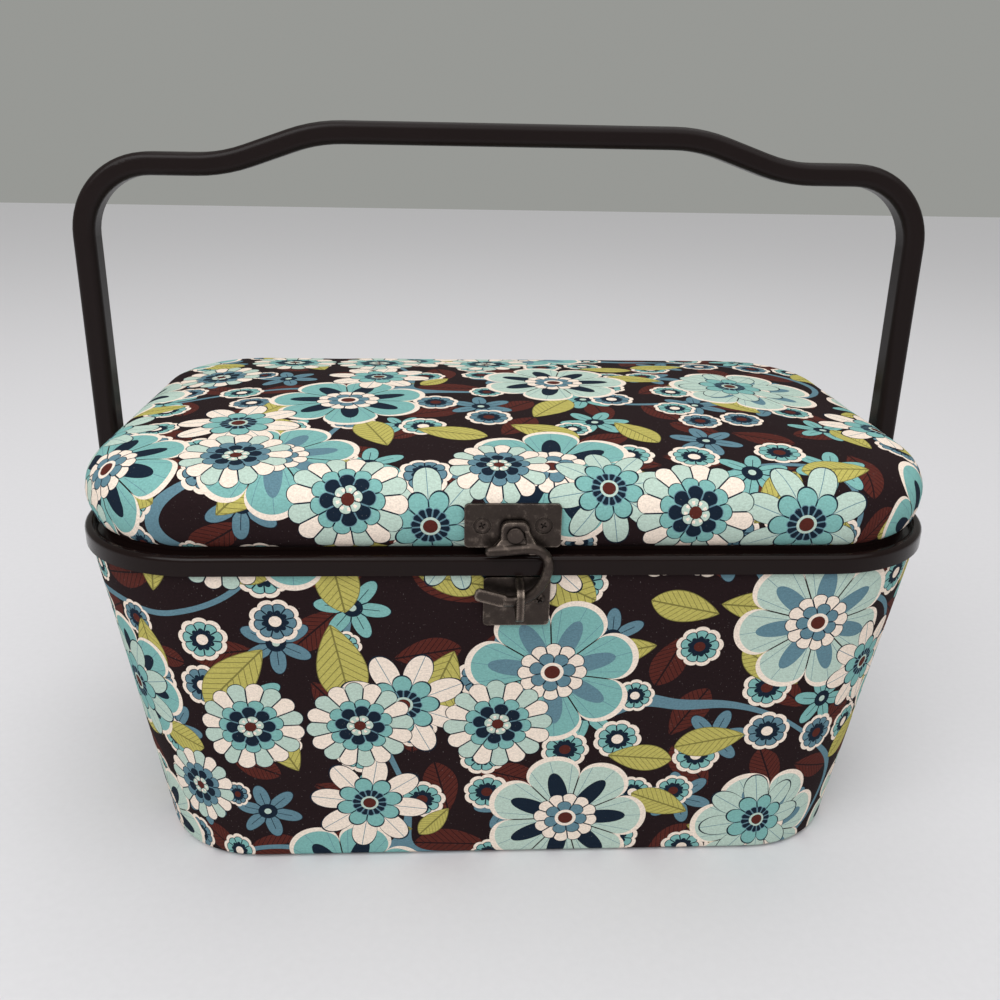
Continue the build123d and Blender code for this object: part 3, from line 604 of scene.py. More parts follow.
def first_ring(mesh, station, cuts, turns):
    """The first ring of edges: one face with its corners rounded and its sides divided."""
    halves = station[:2]
    corner = station[2]
    verts = bmesh.ops.create_grid(mesh, x_segments=1, y_segments=1, size=1)["verts"]
    bmesh.ops.scale(mesh, vec=(*halves, 1), verts=verts)
    bmesh.ops.translate(mesh, vec=(0, 0, station[3]), verts=verts)
    bmesh.ops.bevel(mesh, geom=mesh.verts[:], offset=corner, offset_type="OFFSET", segments=turns,
                    profile=0.5, affect="VERTICES", material=-1)
    bmesh.ops.delete(mesh, geom=mesh.faces[:], context="FACES_ONLY")
    for other, count in zip((1, 0), cuts):
        sides = [e for e in mesh.edges if abs(e.verts[0].co[other] - e.verts[1].co[other]) < TINY
                 and abs(e.verts[0].co[other]) > halves[other] - TINY * 10]
        bmesh.ops.subdivide_edges(mesh, edges=sides, cuts=count)
    place = mesh.verts.layers.float_color.new("around")
    for vert in mesh.verts:
        core = [max(-1, min(1, vert.co[i] / (halves[i] - corner))) for i in (0, 1)]
        out = [(vert.co[i] - core[i] * (halves[i] - corner)) / corner for i in (0, 1)]
        vert[place] = core + out
    return mesh.edges[:]


def round_shell(stations, cuts=(41, 25), turns=14, loop=False, cap=False, first_cap=False):
    """A skin through rounded rectangles, each given as half width, half depth, corner, height, reach."""
    mesh = bmesh.new()
    ring = first_ring(mesh, stations[0], cuts, turns)
    place = mesh.verts.layers.float_color["around"]
    reach = mesh.verts.layers.float.new("reach")
    row = mesh.verts.layers.int.new("row")
    for vert in mesh.verts:
        vert[reach] = stations[0][4]
    first = list(ring)
    for index, station in enumerate(stations[1:], 1):
        made = bmesh.ops.extrude_edge_only(mesh, edges=ring)["geom"]
        fresh = {v for v in made if isinstance(v, bmesh.types.BMVert)}
        for vert in fresh:
            vert.co = edge_at(vert[place], station)
            vert[reach] = station[4]
            vert[row] = index
        ring = [e for e in made if isinstance(e, bmesh.types.BMEdge) and set(e.verts) <= fresh]
    if loop:
        bmesh.ops.bridge_loops(mesh, edges=first + ring)
    for edges in [ring] * cap + [first] * first_cap:
        faces = bmesh.ops.contextual_create(mesh, geom=edges)["faces"]
        bmesh.ops.triangulate(mesh, faces=faces)
    return mesh


def shell_layers(mesh):
    """What a shell's vertices know: their row, their place round it and their reach along the cloth."""
    layers = mesh.verts.layers
    return layers.int["row"], layers.float_color["around"], layers.float["reach"]


def wrap_cloth(mesh, stations):
    """Lays out cloth that runs round the box: true on each face, eased in at the corners."""
    row, place, reach = shell_layers(mesh)
    layout = mesh.loops.layers.uv.new(CLOTH)
    widest = max(stations, key=lambda s: s[0])
    side_at = widest[0] - widest[2] + widest[2] * math.pi / 2 + widest[1] - widest[2]
    for face in mesh.faces:
        left = face.calc_center_median().x < 0
        for loop in face.loops:
            vert = loop.vert
            station = stations[vert[row]]
            tx, ty, nx, ny = vert[place]
            front_end = station[0] - station[2]
            side_end = station[1] - station[2]
            turn = math.atan2(abs(nx), abs(ny)) / (math.pi / 2)
            bend = (side_at - side_end - front_end) * turn
            if ny < -1e-6 and abs(nx) > 1e-6:
                u = front_end + bend
            elif ny > 1e-6 and abs(nx) > 1e-6:
                u = 2 * side_at - front_end - bend
            elif abs(nx) > 0.5:
                u = side_at + ty * side_end
            elif ny < 0:
                u = abs(tx) * front_end
            else:
                u = 2 * side_at - abs(tx) * front_end
            loop[layout].uv = (-u if left else u, vert[reach])


def drape_cloth(mesh, stations, edge_row):
    """Lays out cloth that lies flat on the lid and runs down over its shoulder."""
    _, place, reach = shell_layers(mesh)
    layout = mesh.loops.layers.uv.new(CLOTH)
    half_w, half_d, corner = stations[edge_row][:3]
    for face in mesh.faces:
        for loop in face.loops:
            vert = loop.vert
            if vert[reach] <= 0:
                loop[layout].uv = vert.co.xy
                continue
            tx, ty, nx, ny = vert[place]
            out = corner + vert[reach]
            loop[layout].uv = (tx * (half_w - corner) + nx * out, ty * (half_d - corner) + ny * out)


def flat_cloth(mesh):
    """Lays out cloth as it lies, seen from above."""
    layout = mesh.loops.layers.uv.new(CLOTH)
    for face in mesh.faces:
        for loop in face.loops:
            loop[layout].uv = loop.vert.co.xy


def face_out(mesh, probe):
    """Turns the faces so that the one nearest to probe looks away from the box's middle."""
    bmesh.ops.recalc_face_normals(mesh, faces=mesh.faces[:])
    face = min(mesh.faces, key=lambda f: (f.calc_center_median() - Vector(probe)).length)
    if face.normal.dot(face.calc_center_median() - BOX_MIDDLE) < 0:
        bmesh.ops.reverse_faces(mesh, faces=mesh.faces[:])


def add_object(name, data):
    """Links a new object at the origin."""
    made = bpy.data.objects.new(name, data)
    bpy.context.scene.collection.objects.link(made)
    return made


def add_mesh(name, mesh):
    """Makes an object of a bmesh, at the origin."""
    data = bpy.data.meshes.new(name)
    mesh.to_mesh(data)
    mesh.free()
    return add_object(name, data)


def to_piece(mesh, name, slot, body, thickness=0.0):
    """Makes a finished piece of a bmesh, on its body."""
    piece = add_mesh(name, mesh)
    for polygon in piece.data.polygons:
        polygon.use_smooth = True
    piece.data.set_sharp_from_angle(angle=SHARP_EDGE)
    piece.data.materials.append(finish_for(slot))
    if thickness:
        wall = piece.modifiers.new("Thickness", "SOLIDIFY")
        wall.thickness = thickness
        wall.offset = -1
        wall.use_even_offset = True
    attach(piece, body)
    return piece


def rings_inward(half_w, half_d, corner, z, spacing, start=0.0):
    """Stations of a flat top, from its outline in to a small last ring."""
    stations = []
    draw = start
    while half_d - draw > spacing:
        radius = max(corner - draw, min(LEAST_CORNER, half_d - draw - LAST_RING))
        stations.append((half_w - draw, half_d - draw, radius, z, 0.0))
        draw += spacing
    return stations


def move_out(mesh, shift):
    """Moves each vertex along its normal by a distance that shift gives for it."""
    mesh.normal_update()
    moves = [(vert, vert.normal * shift(vert)) for vert in mesh.verts]
    for vert, move in moves:
        vert.co += move


def drop_near_pins(mesh):
    """Opens the cloth where the handle's pins pass, under their eyes and clips."""
    low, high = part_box("handle_pin_left")
    height = (low.z + high.z) / 2
    middles = {face: face.calc_center_median() for face in mesh.faces}
    near = [face for face, at in middles.items()
            if abs(at.x) > SIDE_WALLS and math.hypot(at.y, at.z - height) < PIN_OPENING]
    bmesh.ops.delete(mesh, geom=near, context="FACES")


def lay_under_lid(mesh, middle, height=0.0):
    """Moves a flat shape to its place under the lid's lining, facing down."""
    bmesh.ops.translate(mesh, vec=(middle.x, middle.y, height), verts=mesh.verts)
    bmesh.ops.recalc_face_normals(mesh, faces=mesh.faces[:])
    if sum(face.normal.z for face in mesh.faces) > 0:
        bmesh.ops.reverse_faces(mesh, faces=mesh.faces[:])
    flat_cloth(mesh)


def ripple(point, scale, seed):
    """Smooth noise from -1 to 1, with lumps of about the scale."""
    return noise.noise(Vector(point) / scale + Vector((seed, seed * 1.7, -seed)))


def ease(value, low, high):
    """Rises smoothly from 0 at low to 1 at high."""
    share = max(0.0, min(1.0, (value - low) / (high - low)))
    return share * share * (3 - 2 * share)


# Body cover
def build_body_cover():
    """The printed cotton round the body, turned in under the box and cut off under the rim band."""
    low = cover_low.z
    top = cover_high.z
    hem = 0.014
    edge = 0.0018
    rows = 46
    lean = math.cos(math.radians(sizes().wall_taper))
    stations = [wall_station(low, edge + (hem - edge) * share, -hem * share) for share in (1.0, 0.6, 0.25)]
    for angle in (math.radians(18 * step) for step in range(6)):
        stations.append(wall_station(low + edge * (1 - math.cos(angle)), edge * (1 - math.sin(angle)),
                                     edge * angle))
    start = low + edge
    for step in range(1, rows + 1):
        z = start + (top - start) * step / rows
        stations.append(wall_station(z, 0.0, edge * math.pi / 2 + (z - start) / lean))
    mesh = round_shell(stations, cuts=(95, 53), turns=22)
    wrap_cloth(mesh, stations)
    face_out(mesh, (0, -0.09, 0.06))
    fade_top = top - 0.012

    def relief(vert):
        fade = ease(vert.co.z, 0.004, 0.02) * (1 - ease(vert.co.z, fade_top - 0.01, fade_top))
        return fade * (0.00009 * ripple(vert.co, 0.030, 2.0) + 0.00005 * ripple(vert.co, 0.009, 5.0))

    move_out(mesh, relief)
    drop_near_pins(mesh)
    piece = to_piece(mesh, "printed_body_cover", "printed_cotton", "base", sizes().fabric)
    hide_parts("body_cover")


# Lid
def lid_profile(inset=0.0, lowest=None):
    """Points of the padded profile from foot to crown, as draw-in, height and the cloth's reach."""
    box = sizes()
    shoulder = box.lid_bulge + box.lid_shoulder
    foot = -math.asin((box.lid_waist - box.lid_bottom) / box.lid_tuck)
    angles = [foot * (1 - step / 6) for step in range(6)]
    angles += [math.radians(7.5 * step) for step in range(13)]
    points = []
    for angle in angles:
        rise = box.lid_shoulder_h - inset if angle > 0 else box.lid_tuck
        draw = shoulder - (box.lid_shoulder - inset) * math.cos(angle)
        points.append((draw, box.lid_waist + rise * math.sin(angle)))
    if lowest is not None:
        points = [p for p in points if p[1] > lowest + 0.0004]
        points.insert(0, (points[0][0] + 0.0003, lowest))
    edge = len(points) - 1
    span = box.rim_depth / 2 - shoulder
    rings = 21
    for step in range(1, rings):
        share = step / rings
        rise = box.lid_crown * (1 - (1 - share) ** 2)
        points.append((shoulder + span * share, box.lid_waist + box.lid_shoulder_h + rise - inset))
    along = [0.0]
    for before, after in zip(points, points[1:]):
        along.append(along[-1] + math.dist(before, after))
    return [(draw, z, along[edge] - way) for (draw, z), way in zip(points, along)]


def press_under(mesh, low, high, side):
    """Presses the padding in behind a plate that lies on it."""
    for vert in mesh.verts:
        if vert.co.y * side < NEAR_PLATES:
            continue
        off_x = max(low.x - vert.co.x, vert.co.x - high.x, 0)
        off_z = max(low.z - vert.co.z, vert.co.z - high.z, 0)
        limit = PLATE_BACK + PRESS_SLOPE * math.hypot(off_x, off_z)
        if vert.co.y * side > limit:
            vert.co.y = limit * side


def build_lid_pad():
    """The foam and the printed cotton stretched over it, tucked in under the edge."""
    hem_draw = 0.0118
    padding = 0.00455
    fabric = sizes().fabric
    bottom = sizes().lid_bottom
    waist = sizes().lid_waist
    outer = lid_profile()
    inner = lid_profile(padding, bottom + fabric + 0.0001)
    foot_draw, foot_z, foot_reach = outer[0]
    hem_reach = foot_reach + hem_draw - foot_draw
    stations = [lid_station(draw, z, 0.0) for draw, z, _ in reversed(inner)]
    stations += [lid_station(hem_draw, bottom + fabric, hem_reach + fabric),
                 lid_station(hem_draw, bottom + 0.00005, hem_reach),
                 lid_station(foot_draw + 0.0022, bottom, foot_reach + 0.0022),
                 lid_station(foot_draw + 0.0006, bottom + 0.0001, foot_reach + 0.0006)]
    first_outer = len(stations)
    stations += [lid_station(draw, z + (0.0005 if z == foot_z else 0), reach) for draw, z, reach in outer]
    edge_row = first_outer + next(i for i, point in enumerate(outer) if point[2] <= 0)
    mesh = round_shell(stations, cuts=(99, 57), turns=26, cap=True, first_cap=True)
    drape_cloth(mesh, stations, edge_row)
    face_out(mesh, ABOVE)
    row, place, _ = shell_layers(mesh)

    def relief(vert):
        if vert[row] < first_outer:
            return 0.0
        out_x, out_y = vert[place][2:]
        tuck = 1 - ease(vert.co.z, bottom + 0.001, waist)
        held = ease(vert.co.z, bottom, bottom + 0.004)
        corner = abs(out_x * out_y) * 2
        pleat = max(0, math.cos(math.atan2(out_y, out_x) * 28)) ** 2
        pleats = -0.00045 * corner * (tuck * (1 - tuck) * 4) * pleat
        soft = 0.00045 * ripple(vert.co, 0.042, 1.0) + 0.00016 * ripple(vert.co, 0.014, 4.0)
        line = vert.co.z - waist - 0.002 - 0.0022 * ripple(vert.co, 0.05, 9.0)
        crease = -0.00022 * math.exp(-(line / 0.0013) ** 2) * ease(-vert.co.x, 0.03, 0.07) * (vert.co.y < 0)
        return (soft + crease) * held + pleats

    move_out(mesh, relief)
    press_under(mesh, *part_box("latch_plate"), -1)
    for name in ("hinge_lid_leaf_left", "hinge_lid_leaf_right"):
        low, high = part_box(name)
        press_under(mesh, Vector((low.x, low.y, bottom)), high, 1)
    piece = to_piece(mesh, "padded_lid_cover", "printed_cotton", "lid")
    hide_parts("lid_cover", "lid_foam")


def build_lid_lining():
    """Padded satin inside the lid, gathered a little round its wall."""
    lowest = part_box("lid_lining")[0].z
    wall_top = 0.148
    fold_pitch = 0.0105
    outer = lid_profile(0.00695, lowest)
    inner = lid_profile(0.00935, lowest)
    stations = [lid_station(*point) for point in reversed(outer)]
    first_inner = len(stations)
    stations += [lid_station(*point) for point in inner]
    mesh = round_shell(stations, cuts=(83, 47), turns=20, cap=True, first_cap=True)
    edge_row = next(i for i, s in enumerate(stations) if s[4] >= 0)
    drape_cloth(mesh, stations, edge_row)
    face_out(mesh, ABOVE)
    row, place, _ = shell_layers(mesh)

    def relief(vert):
        if vert[row] < first_inner + 1:
            return 0.0
        nx, ny = vert[place][2:]
        wall = 1 - ease(vert.co.z, wall_top, wall_top + 0.005)
        way = vert.co.x * abs(ny) + vert.co.y * abs(nx) + math.atan2(ny, nx) * 0.03
        folds = 0.0004 * abs(math.sin(way / fold_pitch * math.pi)) * wall
        return folds + 0.0005 * ripple(vert.co, 0.035, 7.0) * (1 - wall)

    move_out(mesh, relief)
    piece = to_piece(mesh, "satin_lid_lining", "satin", "lid")
    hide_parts("lid_lining")


# Linings of the body
def build_well_lining():
    """Padded satin round the well, quilted in upright channels."""
    low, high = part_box("well_lining")
    outer_in = 0.00595
    inner_in = 0.00995
    rounding = 0.0012
    channel = 0.0225
    corner_reach = 0.0345
    rows = 30
    tall = high.z - rounding - low.z
    stations = [wall_station(low.z + tall * share, outer_in + 0.00002) for share in (0.0, 0.33, 0.66, 1.0)]
    for share in (0.25, 0.5, 0.75):
        z = high.z - rounding / 2 * (1 - math.sin(share * math.pi))
        stations.append(wall_station(z, outer_in + (inner_in - outer_in) * share))
    first_inner = len(stations)
    for step in range(rows + 1):
        z = high.z - rounding - tall * step / rows
        stations.append(wall_station(z, inner_in, high.z - z))
    mesh = round_shell(stations, cuts=(103, 59), turns=20, loop=True)
    wrap_cloth(mesh, stations)
    face_out(mesh, (0, -0.084, low.z))
    row, place, _ = shell_layers(mesh)

    def relief(vert):
        if vert[row] < first_inner:
            return 0.0
        nx, ny = vert[place][2:]
        way = vert.co.x * abs(ny) + vert.co.y * abs(nx)
        if min(abs(nx), abs(ny)) > 1e-4:
            way = math.atan2(abs(ny), abs(nx)) * corner_reach
        seam = abs(math.sin(way / channel * math.pi))
        ends = ease(vert.co.z, low.z, low.z + 0.004) * (1 - ease(vert.co.z, high.z - 0.006, high.z - 0.001))
        return -0.0011 * (1 - seam ** 0.45) * ends + 0.00012 * ripple(vert.co, 0.012, 3.0) * ends

    move_out(mesh, relief)
    piece = to_piece(mesh, "satin_well_lining", "satin", "base")
    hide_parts("well_lining")


def build_upper_lining():
    """The satin strip round the wall above the tray's ledge."""
    low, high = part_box("upper_lining")
    inset = 0.0039
    rows = 8
    tall = high.z - low.z
    stations = [wall_station(low.z + tall * step / rows, inset, tall * step / rows)
                for step in range(rows + 1)]
    mesh = round_shell(stations, cuts=(95, 53), turns=20)
    wrap_cloth(mesh, stations)
    face_out(mesh, (0, -0.09, 0.11))
    drop_near_pins(mesh)
    piece = to_piece(mesh, "satin_upper_lining", "satin", "base", 0.0006)
    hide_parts("upper_lining")


def quilted(x, y, pitch):
    """Height of a diamond-quilted surface, from 0 along the seams to 1."""
    a = abs(math.sin((x + y) / pitch * math.pi))
    b = abs(math.sin((x - y) / pitch * math.pi))
    return (a * b) ** 0.4


def build_floor_pad():
    """The padded floor of the well, quilted in diamonds and crowned a little."""
    low, _, _, half_w, half_d = node_box("floor_pad")
    corner = wall_size(low.z, 0.010)[2]
    thick = 0.0045
    diamond = 0.032
    stations = rings_inward(half_w, half_d, corner, low.z, 0.006, 0.0006)[:1]
    for angle in (math.radians(18 * step) for step in range(6)):
        z = low.z + thick * (0.35 + 0.65 * math.sin(angle))
        stations += rings_inward(half_w, half_d, corner, z, 0.006, 0.0025 * (1 - math.cos(angle)))[:1]
    first_top = len(stations)
    stations += rings_inward(half_w, half_d, corner, low.z + thick, 0.0032, 0.0045)
    mesh = round_shell(stations, cuts=(87, 47), turns=14, cap=True, first_cap=True)
    flat_cloth(mesh)
    face_out(mesh, ABOVE)
    row = shell_layers(mesh)[0]
    for vert in mesh.verts:
        if vert[row] >= first_top:
            inside = min(half_w - abs(vert.co.x), half_d - abs(vert.co.y))
            crown = 0.0015 * ease(inside, 0.004, 0.04)
            puff = 0.0017 * (1 - quilted(vert.co.x, vert.co.y, diamond)) * ease(inside, 0.003, 0.009)
            vert.co.z += crown - puff
    piece = to_piece(mesh, "quilted_floor_pad", "satin", "base")
    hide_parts("floor_pad")


# Fittings in the lid
def build_pin_cushion():
    """A stuffed cushion on the lid's lining, drawn in by a button of thread in its middle."""
    low, high, middle, half_w, half_d = node_box("pin_cushion")
    tall = high.z - low.z
    corner = half_d - 0.008
    side_bulge = 0.0075
    steps = 12
    stations = []
    for step in range(steps + 1):
        angle = math.radians(-50 + 140 * step / steps)
        draw = side_bulge * (1 - math.cos(angle))
        z = high.z - tall * 0.42 - tall * 0.50 * math.sin(angle)
        stations.append((half_w - draw, half_d - draw, max(corner - draw, LEAST_CORNER), min(z, high.z), 0.0))
    stations += rings_inward(half_w, half_d, corner, low.z + tall * 0.08, 0.0022, 0.0095)
    mesh = round_shell(stations, cuts=(19, 15), turns=14, cap=True, first_cap=True)
    for vert in mesh.verts:
        reach = math.hypot(vert.co.x / half_w, vert.co.y / half_d)
        turn = math.atan2(vert.co.y, vert.co.x)
        down = ease(high.z - vert.co.z, tall * 0.3, tall * 0.9)
        tuft = 0.0042 * math.exp(-(reach / 0.22) ** 2)
        spread = ease(reach, 0.02, 0.2) * (1 - ease(reach, 0.35, 1.0))
        folds = 0.0011 * max(0, math.cos(turn * 6)) ** 3 * spread
        dome = 0.0010 * (1 - reach ** 2)
        vert.co.z += (tuft + folds - dome) * down
        pucker = 1 - 0.012 * max(0, math.cos(turn * 22)) * (1 - down)
        vert.co.x *= pucker
        vert.co.y *= pucker
    bmesh.ops.translate(mesh, vec=(middle.x, middle.y, 0), verts=mesh.verts)
    bmesh.ops.recalc_face_normals(mesh, faces=mesh.faces[:])
    flat_cloth(mesh)
    piece = to_piece(mesh, "stuffed_pin_cushion", "cushion_cotton", "lid")
    soft = piece.modifiers.new("Soft", "SUBSURF")
    soft.levels = 1
    soft.render_levels = 1
    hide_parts("pin_cushion")


def build_lid_pocket():
    """A satin pocket against the lid's lining, gathered towards its elastic."""
    low, high, middle, half_w, half_d = node_box("lid_pocket")
    bulge = (high.z - low.z - 0.0012) * 0.75
    gather = 0.0052
    stations = rings_inward(half_w, half_d, 0.008, high.z, 0.0018)
    mesh = round_shell(stations, cuts=(83, 33), turns=8, cap=True)
    for vert in mesh.verts:
        inside = min(half_w - abs(vert.co.x), half_d - abs(vert.co.y))
        bag = ease(inside, 0.0, 0.010)
        towards = ease(-vert.co.y, -half_d * 0.8, half_d * 0.95)
        wander = vert.co.x + 0.002 * ripple(vert.co, 0.03, 6.0)
        fold = math.sin(wander / gather * math.pi) * (0.25 + 0.75 * towards)
        vert.co.z -= bulge * bag + 0.0005 * fold * ease(inside, 0.0, 0.004) + 0.0005 * bag
    lay_under_lid(mesh, middle)
    piece = to_piece(mesh, "gathered_pocket", "satin", "lid", 0.0004)
    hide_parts("lid_pocket")


def build_elastic():
    """The pocket's elastic, its ribs drawn up into small ruffles."""
    low, high, middle, half_w, half_d = node_box("pocket_elastic")
    ruffle = 0.0021
    mesh = bmesh.new()
    bmesh.ops.create_grid(mesh, x_segments=180, y_segments=6, size=1.0)
    bmesh.ops.scale(mesh, vec=(half_w, half_d, 1), verts=mesh.verts)
    for vert in mesh.verts:
        wave = math.sin(vert.co.x / ruffle * math.pi)
        across = abs(vert.co.y) / half_d
        vert.co.y += 0.00025 * wave * across
        vert.co.z = 0.00018 * wave + 0.0002 * (1 - across ** 2)
    lay_under_lid(mesh, middle, low.z + 0.0004)
    piece = to_piece(mesh, "ribbed_elastic", "elastic", "lid", 0.0007)
    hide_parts("pocket_elastic")


# Cast parts of the latch
def soft_cast(name, node, body, voxel, extra=()):
    """A cast part: the node's solid with more metal at its joins, fused and rounded all over."""
    mesh = bmesh.new()
    mesh.from_mesh(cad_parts[node].data)
    bmesh.ops.remove_doubles(mesh, verts=mesh.verts[:], dist=1e-6)
    for top, bottom in extra:
        verts = bmesh.ops.create_cube(mesh, size=2.0)["verts"]
        for vert in verts:
            left, right, front, back, z = top if vert.co.z > 0 else bottom
            vert.co = (right if vert.co.x > 0 else left, back if vert.co.y > 0 else front, z)
    piece = add_mesh(name, mesh)
    fuse = piece.modifiers.new("Fuse", "REMESH")
    fuse.mode = "VOXEL"
    fuse.voxel_size = voxel
    fuse.use_smooth_shade = True
    soften = piece.modifiers.new("Soften", "SMOOTH")
    soften.factor = 0.5
    soften.iterations = 7
    piece.data.materials.append(finish_for("cast_bronze"))
    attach(piece, body)
    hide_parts(node)


def build_hook():
    """The hook, its hub flaring into the bar."""
    x, _, z = node_box("latch_pivot")[2]
    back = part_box("latch_hook")[1].y
    flare = ((x - 0.0046, x + 0.0047, back - 0.0027, back - 0.0003, z - 0.0016),
             (x - 0.0082, x + 0.0072, back - 0.0046, back - 0.0022, z - 0.0052))
    shoulder = ((x + 0.0030, x + 0.0046, back - 0.0030, back - 0.0006, z + 0.0012),
                (x + 0.0044, x + 0.0088, back - 0.0046, back - 0.0022, z - 0.0062))
    soft_cast("cast_hook", "latch_hook", "hook", 0.00025, (flare, shoulder))


def build_loop():
    """The staple loop, its bends eased."""
    soft_cast("bent_loop", "keeper_loop", "base", 0.0002)


# Underside
def build_underside():
    """The felt panel under the box, its edge rounded."""
    low, high, _, half_w, half_d = node_box("underside_panel")
    corner = wall_size(low.z, 0.003)[2]
    stations = rings_inward(half_w, half_d, corner, high.z - 0.0001, 0.008)[::-1]
    for draw, share in ((0.0, 0.3), (0.0002, 0.7), (0.0006, 1.0)):
        stations.append((half_w - draw, half_d - draw, corner - draw, high.z - (high.z - low.z) * share, 0.0))
    stations += rings_inward(half_w, half_d, corner, low.z, 0.008, 0.004)
    mesh = round_shell(stations, cuts=(31, 17), turns=10, cap=True, first_cap=True)
    flat_cloth(mesh)
    bmesh.ops.recalc_face_normals(mesh, faces=mesh.faces[:])
    piece = to_piece(mesh, "felt_underside", "underside_fabric", "base")
    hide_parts("underside_panel")


# Stage and camera
def build_stage():
    """The floor, the lights and the plain surroundings."""
    mesh = bmesh.new()
    bmesh.ops.create_grid(mesh, x_segments=4, y_segments=4, size=FLOOR_HALF)
    floor = add_mesh("floor", mesh)
    finish = Finish("floor_paper")
    paper = finish.tint(FLOOR_COLOUR, 0.97 + finish.grain(300.0) * 0.06)
    floor.data.materials.append(finish.set(Base_Color=paper, Roughness=0.75))
    sun = bpy.data.lights.new("even_light", "SUN")
    sun.energy = SUN_STRENGTH
    sun.angle = math.radians(70)
    add_object("even_light", sun).rotation_euler = (math.radians(34), math.radians(16), 0)
    for name, at, size, power in LAMPS:
        lamp = bpy.data.lights.new(name, "AREA")
        lamp.size = size
        lamp.energy = power
        lamp_object = add_object(name, lamp)
        lamp_object.location = at
        lamp_object.rotation_euler = (BOX_MIDDLE - Vector(at)).to_track_quat("-Z", "Y").to_euler()
    scene = bpy.context.scene
    scene.world = scene.world or bpy.data.worlds.new("World")
    scene.world.use_nodes = True
    sky = scene.world.node_tree.nodes["Background"]
    sky.inputs["Color"].default_value = SKY_COLOUR
    sky.inputs["Strength"].default_value = SKY_STRENGTH
    scene.view_settings.view_transform = "Standard"


def build_camera():
    """The camera, where the photograph was taken from."""
    yaw, pitch, roll = (math.radians(value) for value in CAMERA_TURN)
    ahead = Vector((math.sin(yaw) * math.cos(pitch), math.cos(yaw) * math.cos(pitch), -math.sin(pitch)))
    level = Vector((math.cos(yaw), -math.sin(yaw), 0))
    upright = level.cross(ahead)
    right = level * math.cos(roll) + upright * math.sin(roll)
    up = upright * math.cos(roll) - level * math.sin(roll)
    data = bpy.data.cameras.new("photo_camera")
    data.sensor_width = 36.0
    data.lens = CAMERA_LENS
    data.clip_start = 0.01
    camera = add_object("photo_camera", data)
    place = Matrix((right, up, -ahead)).transposed().to_4x4()
    place.translation = Vector(CAMERA_AT)
    camera.matrix_world = place
    bpy.context.scene.camera = camera


# Nodes of the model that stay, by the finish that each takes
KEPT_NODES = {
    "rim_plastic": ("rim", "lid_ring"),
    "handle_plastic": ("handle",),
    "tray_plastic": ("tray",),
    "bronze": ("latch_plate", "keeper_plate", "hinge_body_leaf_left", "hinge_body_leaf_right",
               "hinge_lid_leaf_left", "hinge_lid_leaf_right"),
    "bronze_screw": ("latch_pivot", "latch_screws", "keeper_screws", "hinge_pin_left", "hinge_pin_right",
                     "hinge_body_screws", "hinge_lid_screws"),
    "pin_steel": ("handle_pin_left", "handle_pin_right"),
    "clip_steel": ("handle_pin_clips",),
    "wall_board": ("wall_board", "bottom_board", "lid_pan"),
    "liner_card": ("liner_board",),
}


# Operators, one for each group of like pieces
class SEWINGBOX_OT_hardware(bpy.types.Operator):
    """Gives the rim, handle, tray, boards, latch and hinges their materials"""
    bl_idname = "sewingbox.hardware"
    bl_label = "Dress hard parts"

    def execute(self, context):
        for slot, names in KEPT_NODES.items():
            for name in names:
                dress_node(name, slot)
        return {"FINISHED"}


class SEWINGBOX_OT_printed_cotton(bpy.types.Operator):
    """Makes the printed cotton over the body and over the padded lid"""
    bl_idname = "sewingbox.printed_cotton"
    bl_label = "Make printed cotton"

    def execute(self, context):
        build_body_cover()
        build_lid_pad()
        return {"FINISHED"}


class SEWINGBOX_OT_castings(bpy.types.Operator):
    """Makes the cast hook and the loop that it catches"""
    bl_idname = "sewingbox.castings"
    bl_label = "Make castings"

    def execute(self, context):
        build_hook()
        build_loop()
        return {"FINISHED"}


class SEWINGBOX_OT_linings(bpy.types.Operator):
    """Makes the satin linings, the quilted floor pad and the felt underside"""
    bl_idname = "sewingbox.linings"
    bl_label = "Make linings"

    def execute(self, context):
        build_well_lining()
        build_upper_lining()
        build_floor_pad()
        build_lid_lining()
        build_underside()
        return {"FINISHED"}


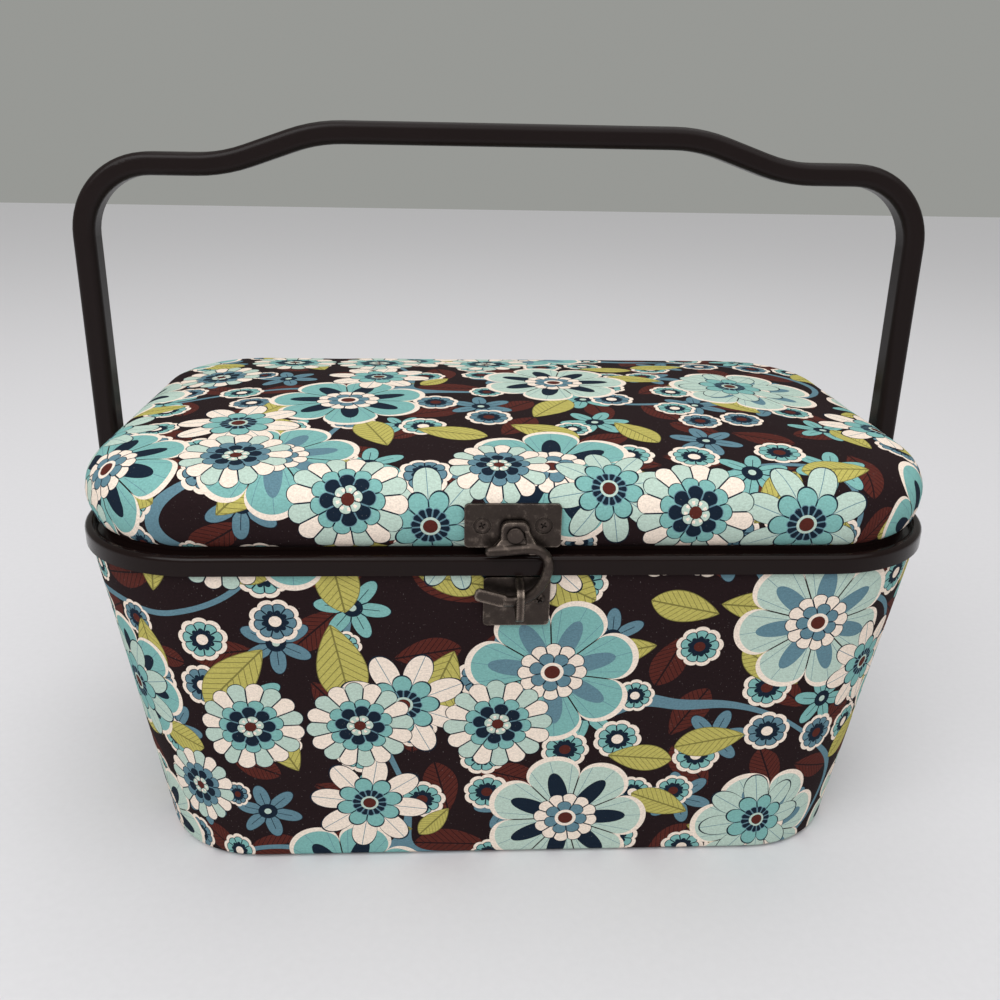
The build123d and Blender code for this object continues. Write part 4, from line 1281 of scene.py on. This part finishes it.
class SEWINGBOX_OT_lid_fittings(bpy.types.Operator):
    """Makes the pin cushion, the pocket and its elastic inside the lid"""
    bl_idname = "sewingbox.lid_fittings"
    bl_label = "Make lid fittings"

    def execute(self, context):
        build_pin_cushion()
        build_lid_pocket()
        build_elastic()
        return {"FINISHED"}


class SEWINGBOX_OT_stage(bpy.types.Operator):
    """Sets up the floor, the lights and the camera"""
    bl_idname = "sewingbox.stage"
    bl_label = "Set up stage"

    def execute(self, context):
        build_stage()
        build_camera()
        return {"FINISHED"}


class SEWINGBOX_PT_panel(bpy.types.Panel):
    """Lists the steps that dress the sewing box"""
    bl_idname = "SEWINGBOX_PT_panel"
    bl_label = "Sewing Box"
    bl_space_type = "VIEW_3D"
    bl_region_type = "UI"
    bl_category = "Sewing Box"

    def draw(self, context):
        for operator in OPERATORS:
            self.layout.operator(operator.bl_idname)
        for group in (context.scene.box_sizes, context.scene.print_colours, context.scene.finish_colours):
            box = self.layout.box()
            for name in group.__annotations__:
                box.prop(group, name)


OPERATORS = (SEWINGBOX_OT_stage, SEWINGBOX_OT_hardware, SEWINGBOX_OT_castings, SEWINGBOX_OT_printed_cotton,
             SEWINGBOX_OT_linings, SEWINGBOX_OT_lid_fittings)
CLASSES = (BoxSizes, PrintColours, FinishColours) + OPERATORS + (SEWINGBOX_PT_panel,)


def register():
    for cls in CLASSES:
        bpy.utils.register_class(cls)
    bpy.types.Scene.box_sizes = bpy.props.PointerProperty(type=BoxSizes)
    bpy.types.Scene.print_colours = bpy.props.PointerProperty(type=PrintColours)
    bpy.types.Scene.finish_colours = bpy.props.PointerProperty(type=FinishColours)


def unregister():
    del bpy.types.Scene.finish_colours
    del bpy.types.Scene.print_colours
    del bpy.types.Scene.box_sizes
    for cls in reversed(CLASSES):
        bpy.utils.unregister_class(cls)


def main():
    register()
    bpy.ops.sewingbox.stage()
    bpy.ops.sewingbox.hardware()
    bpy.ops.sewingbox.castings()
    bpy.ops.sewingbox.printed_cotton()
    bpy.ops.sewingbox.linings()
    bpy.ops.sewingbox.lid_fittings()


if __name__ == "__main__":
    main()
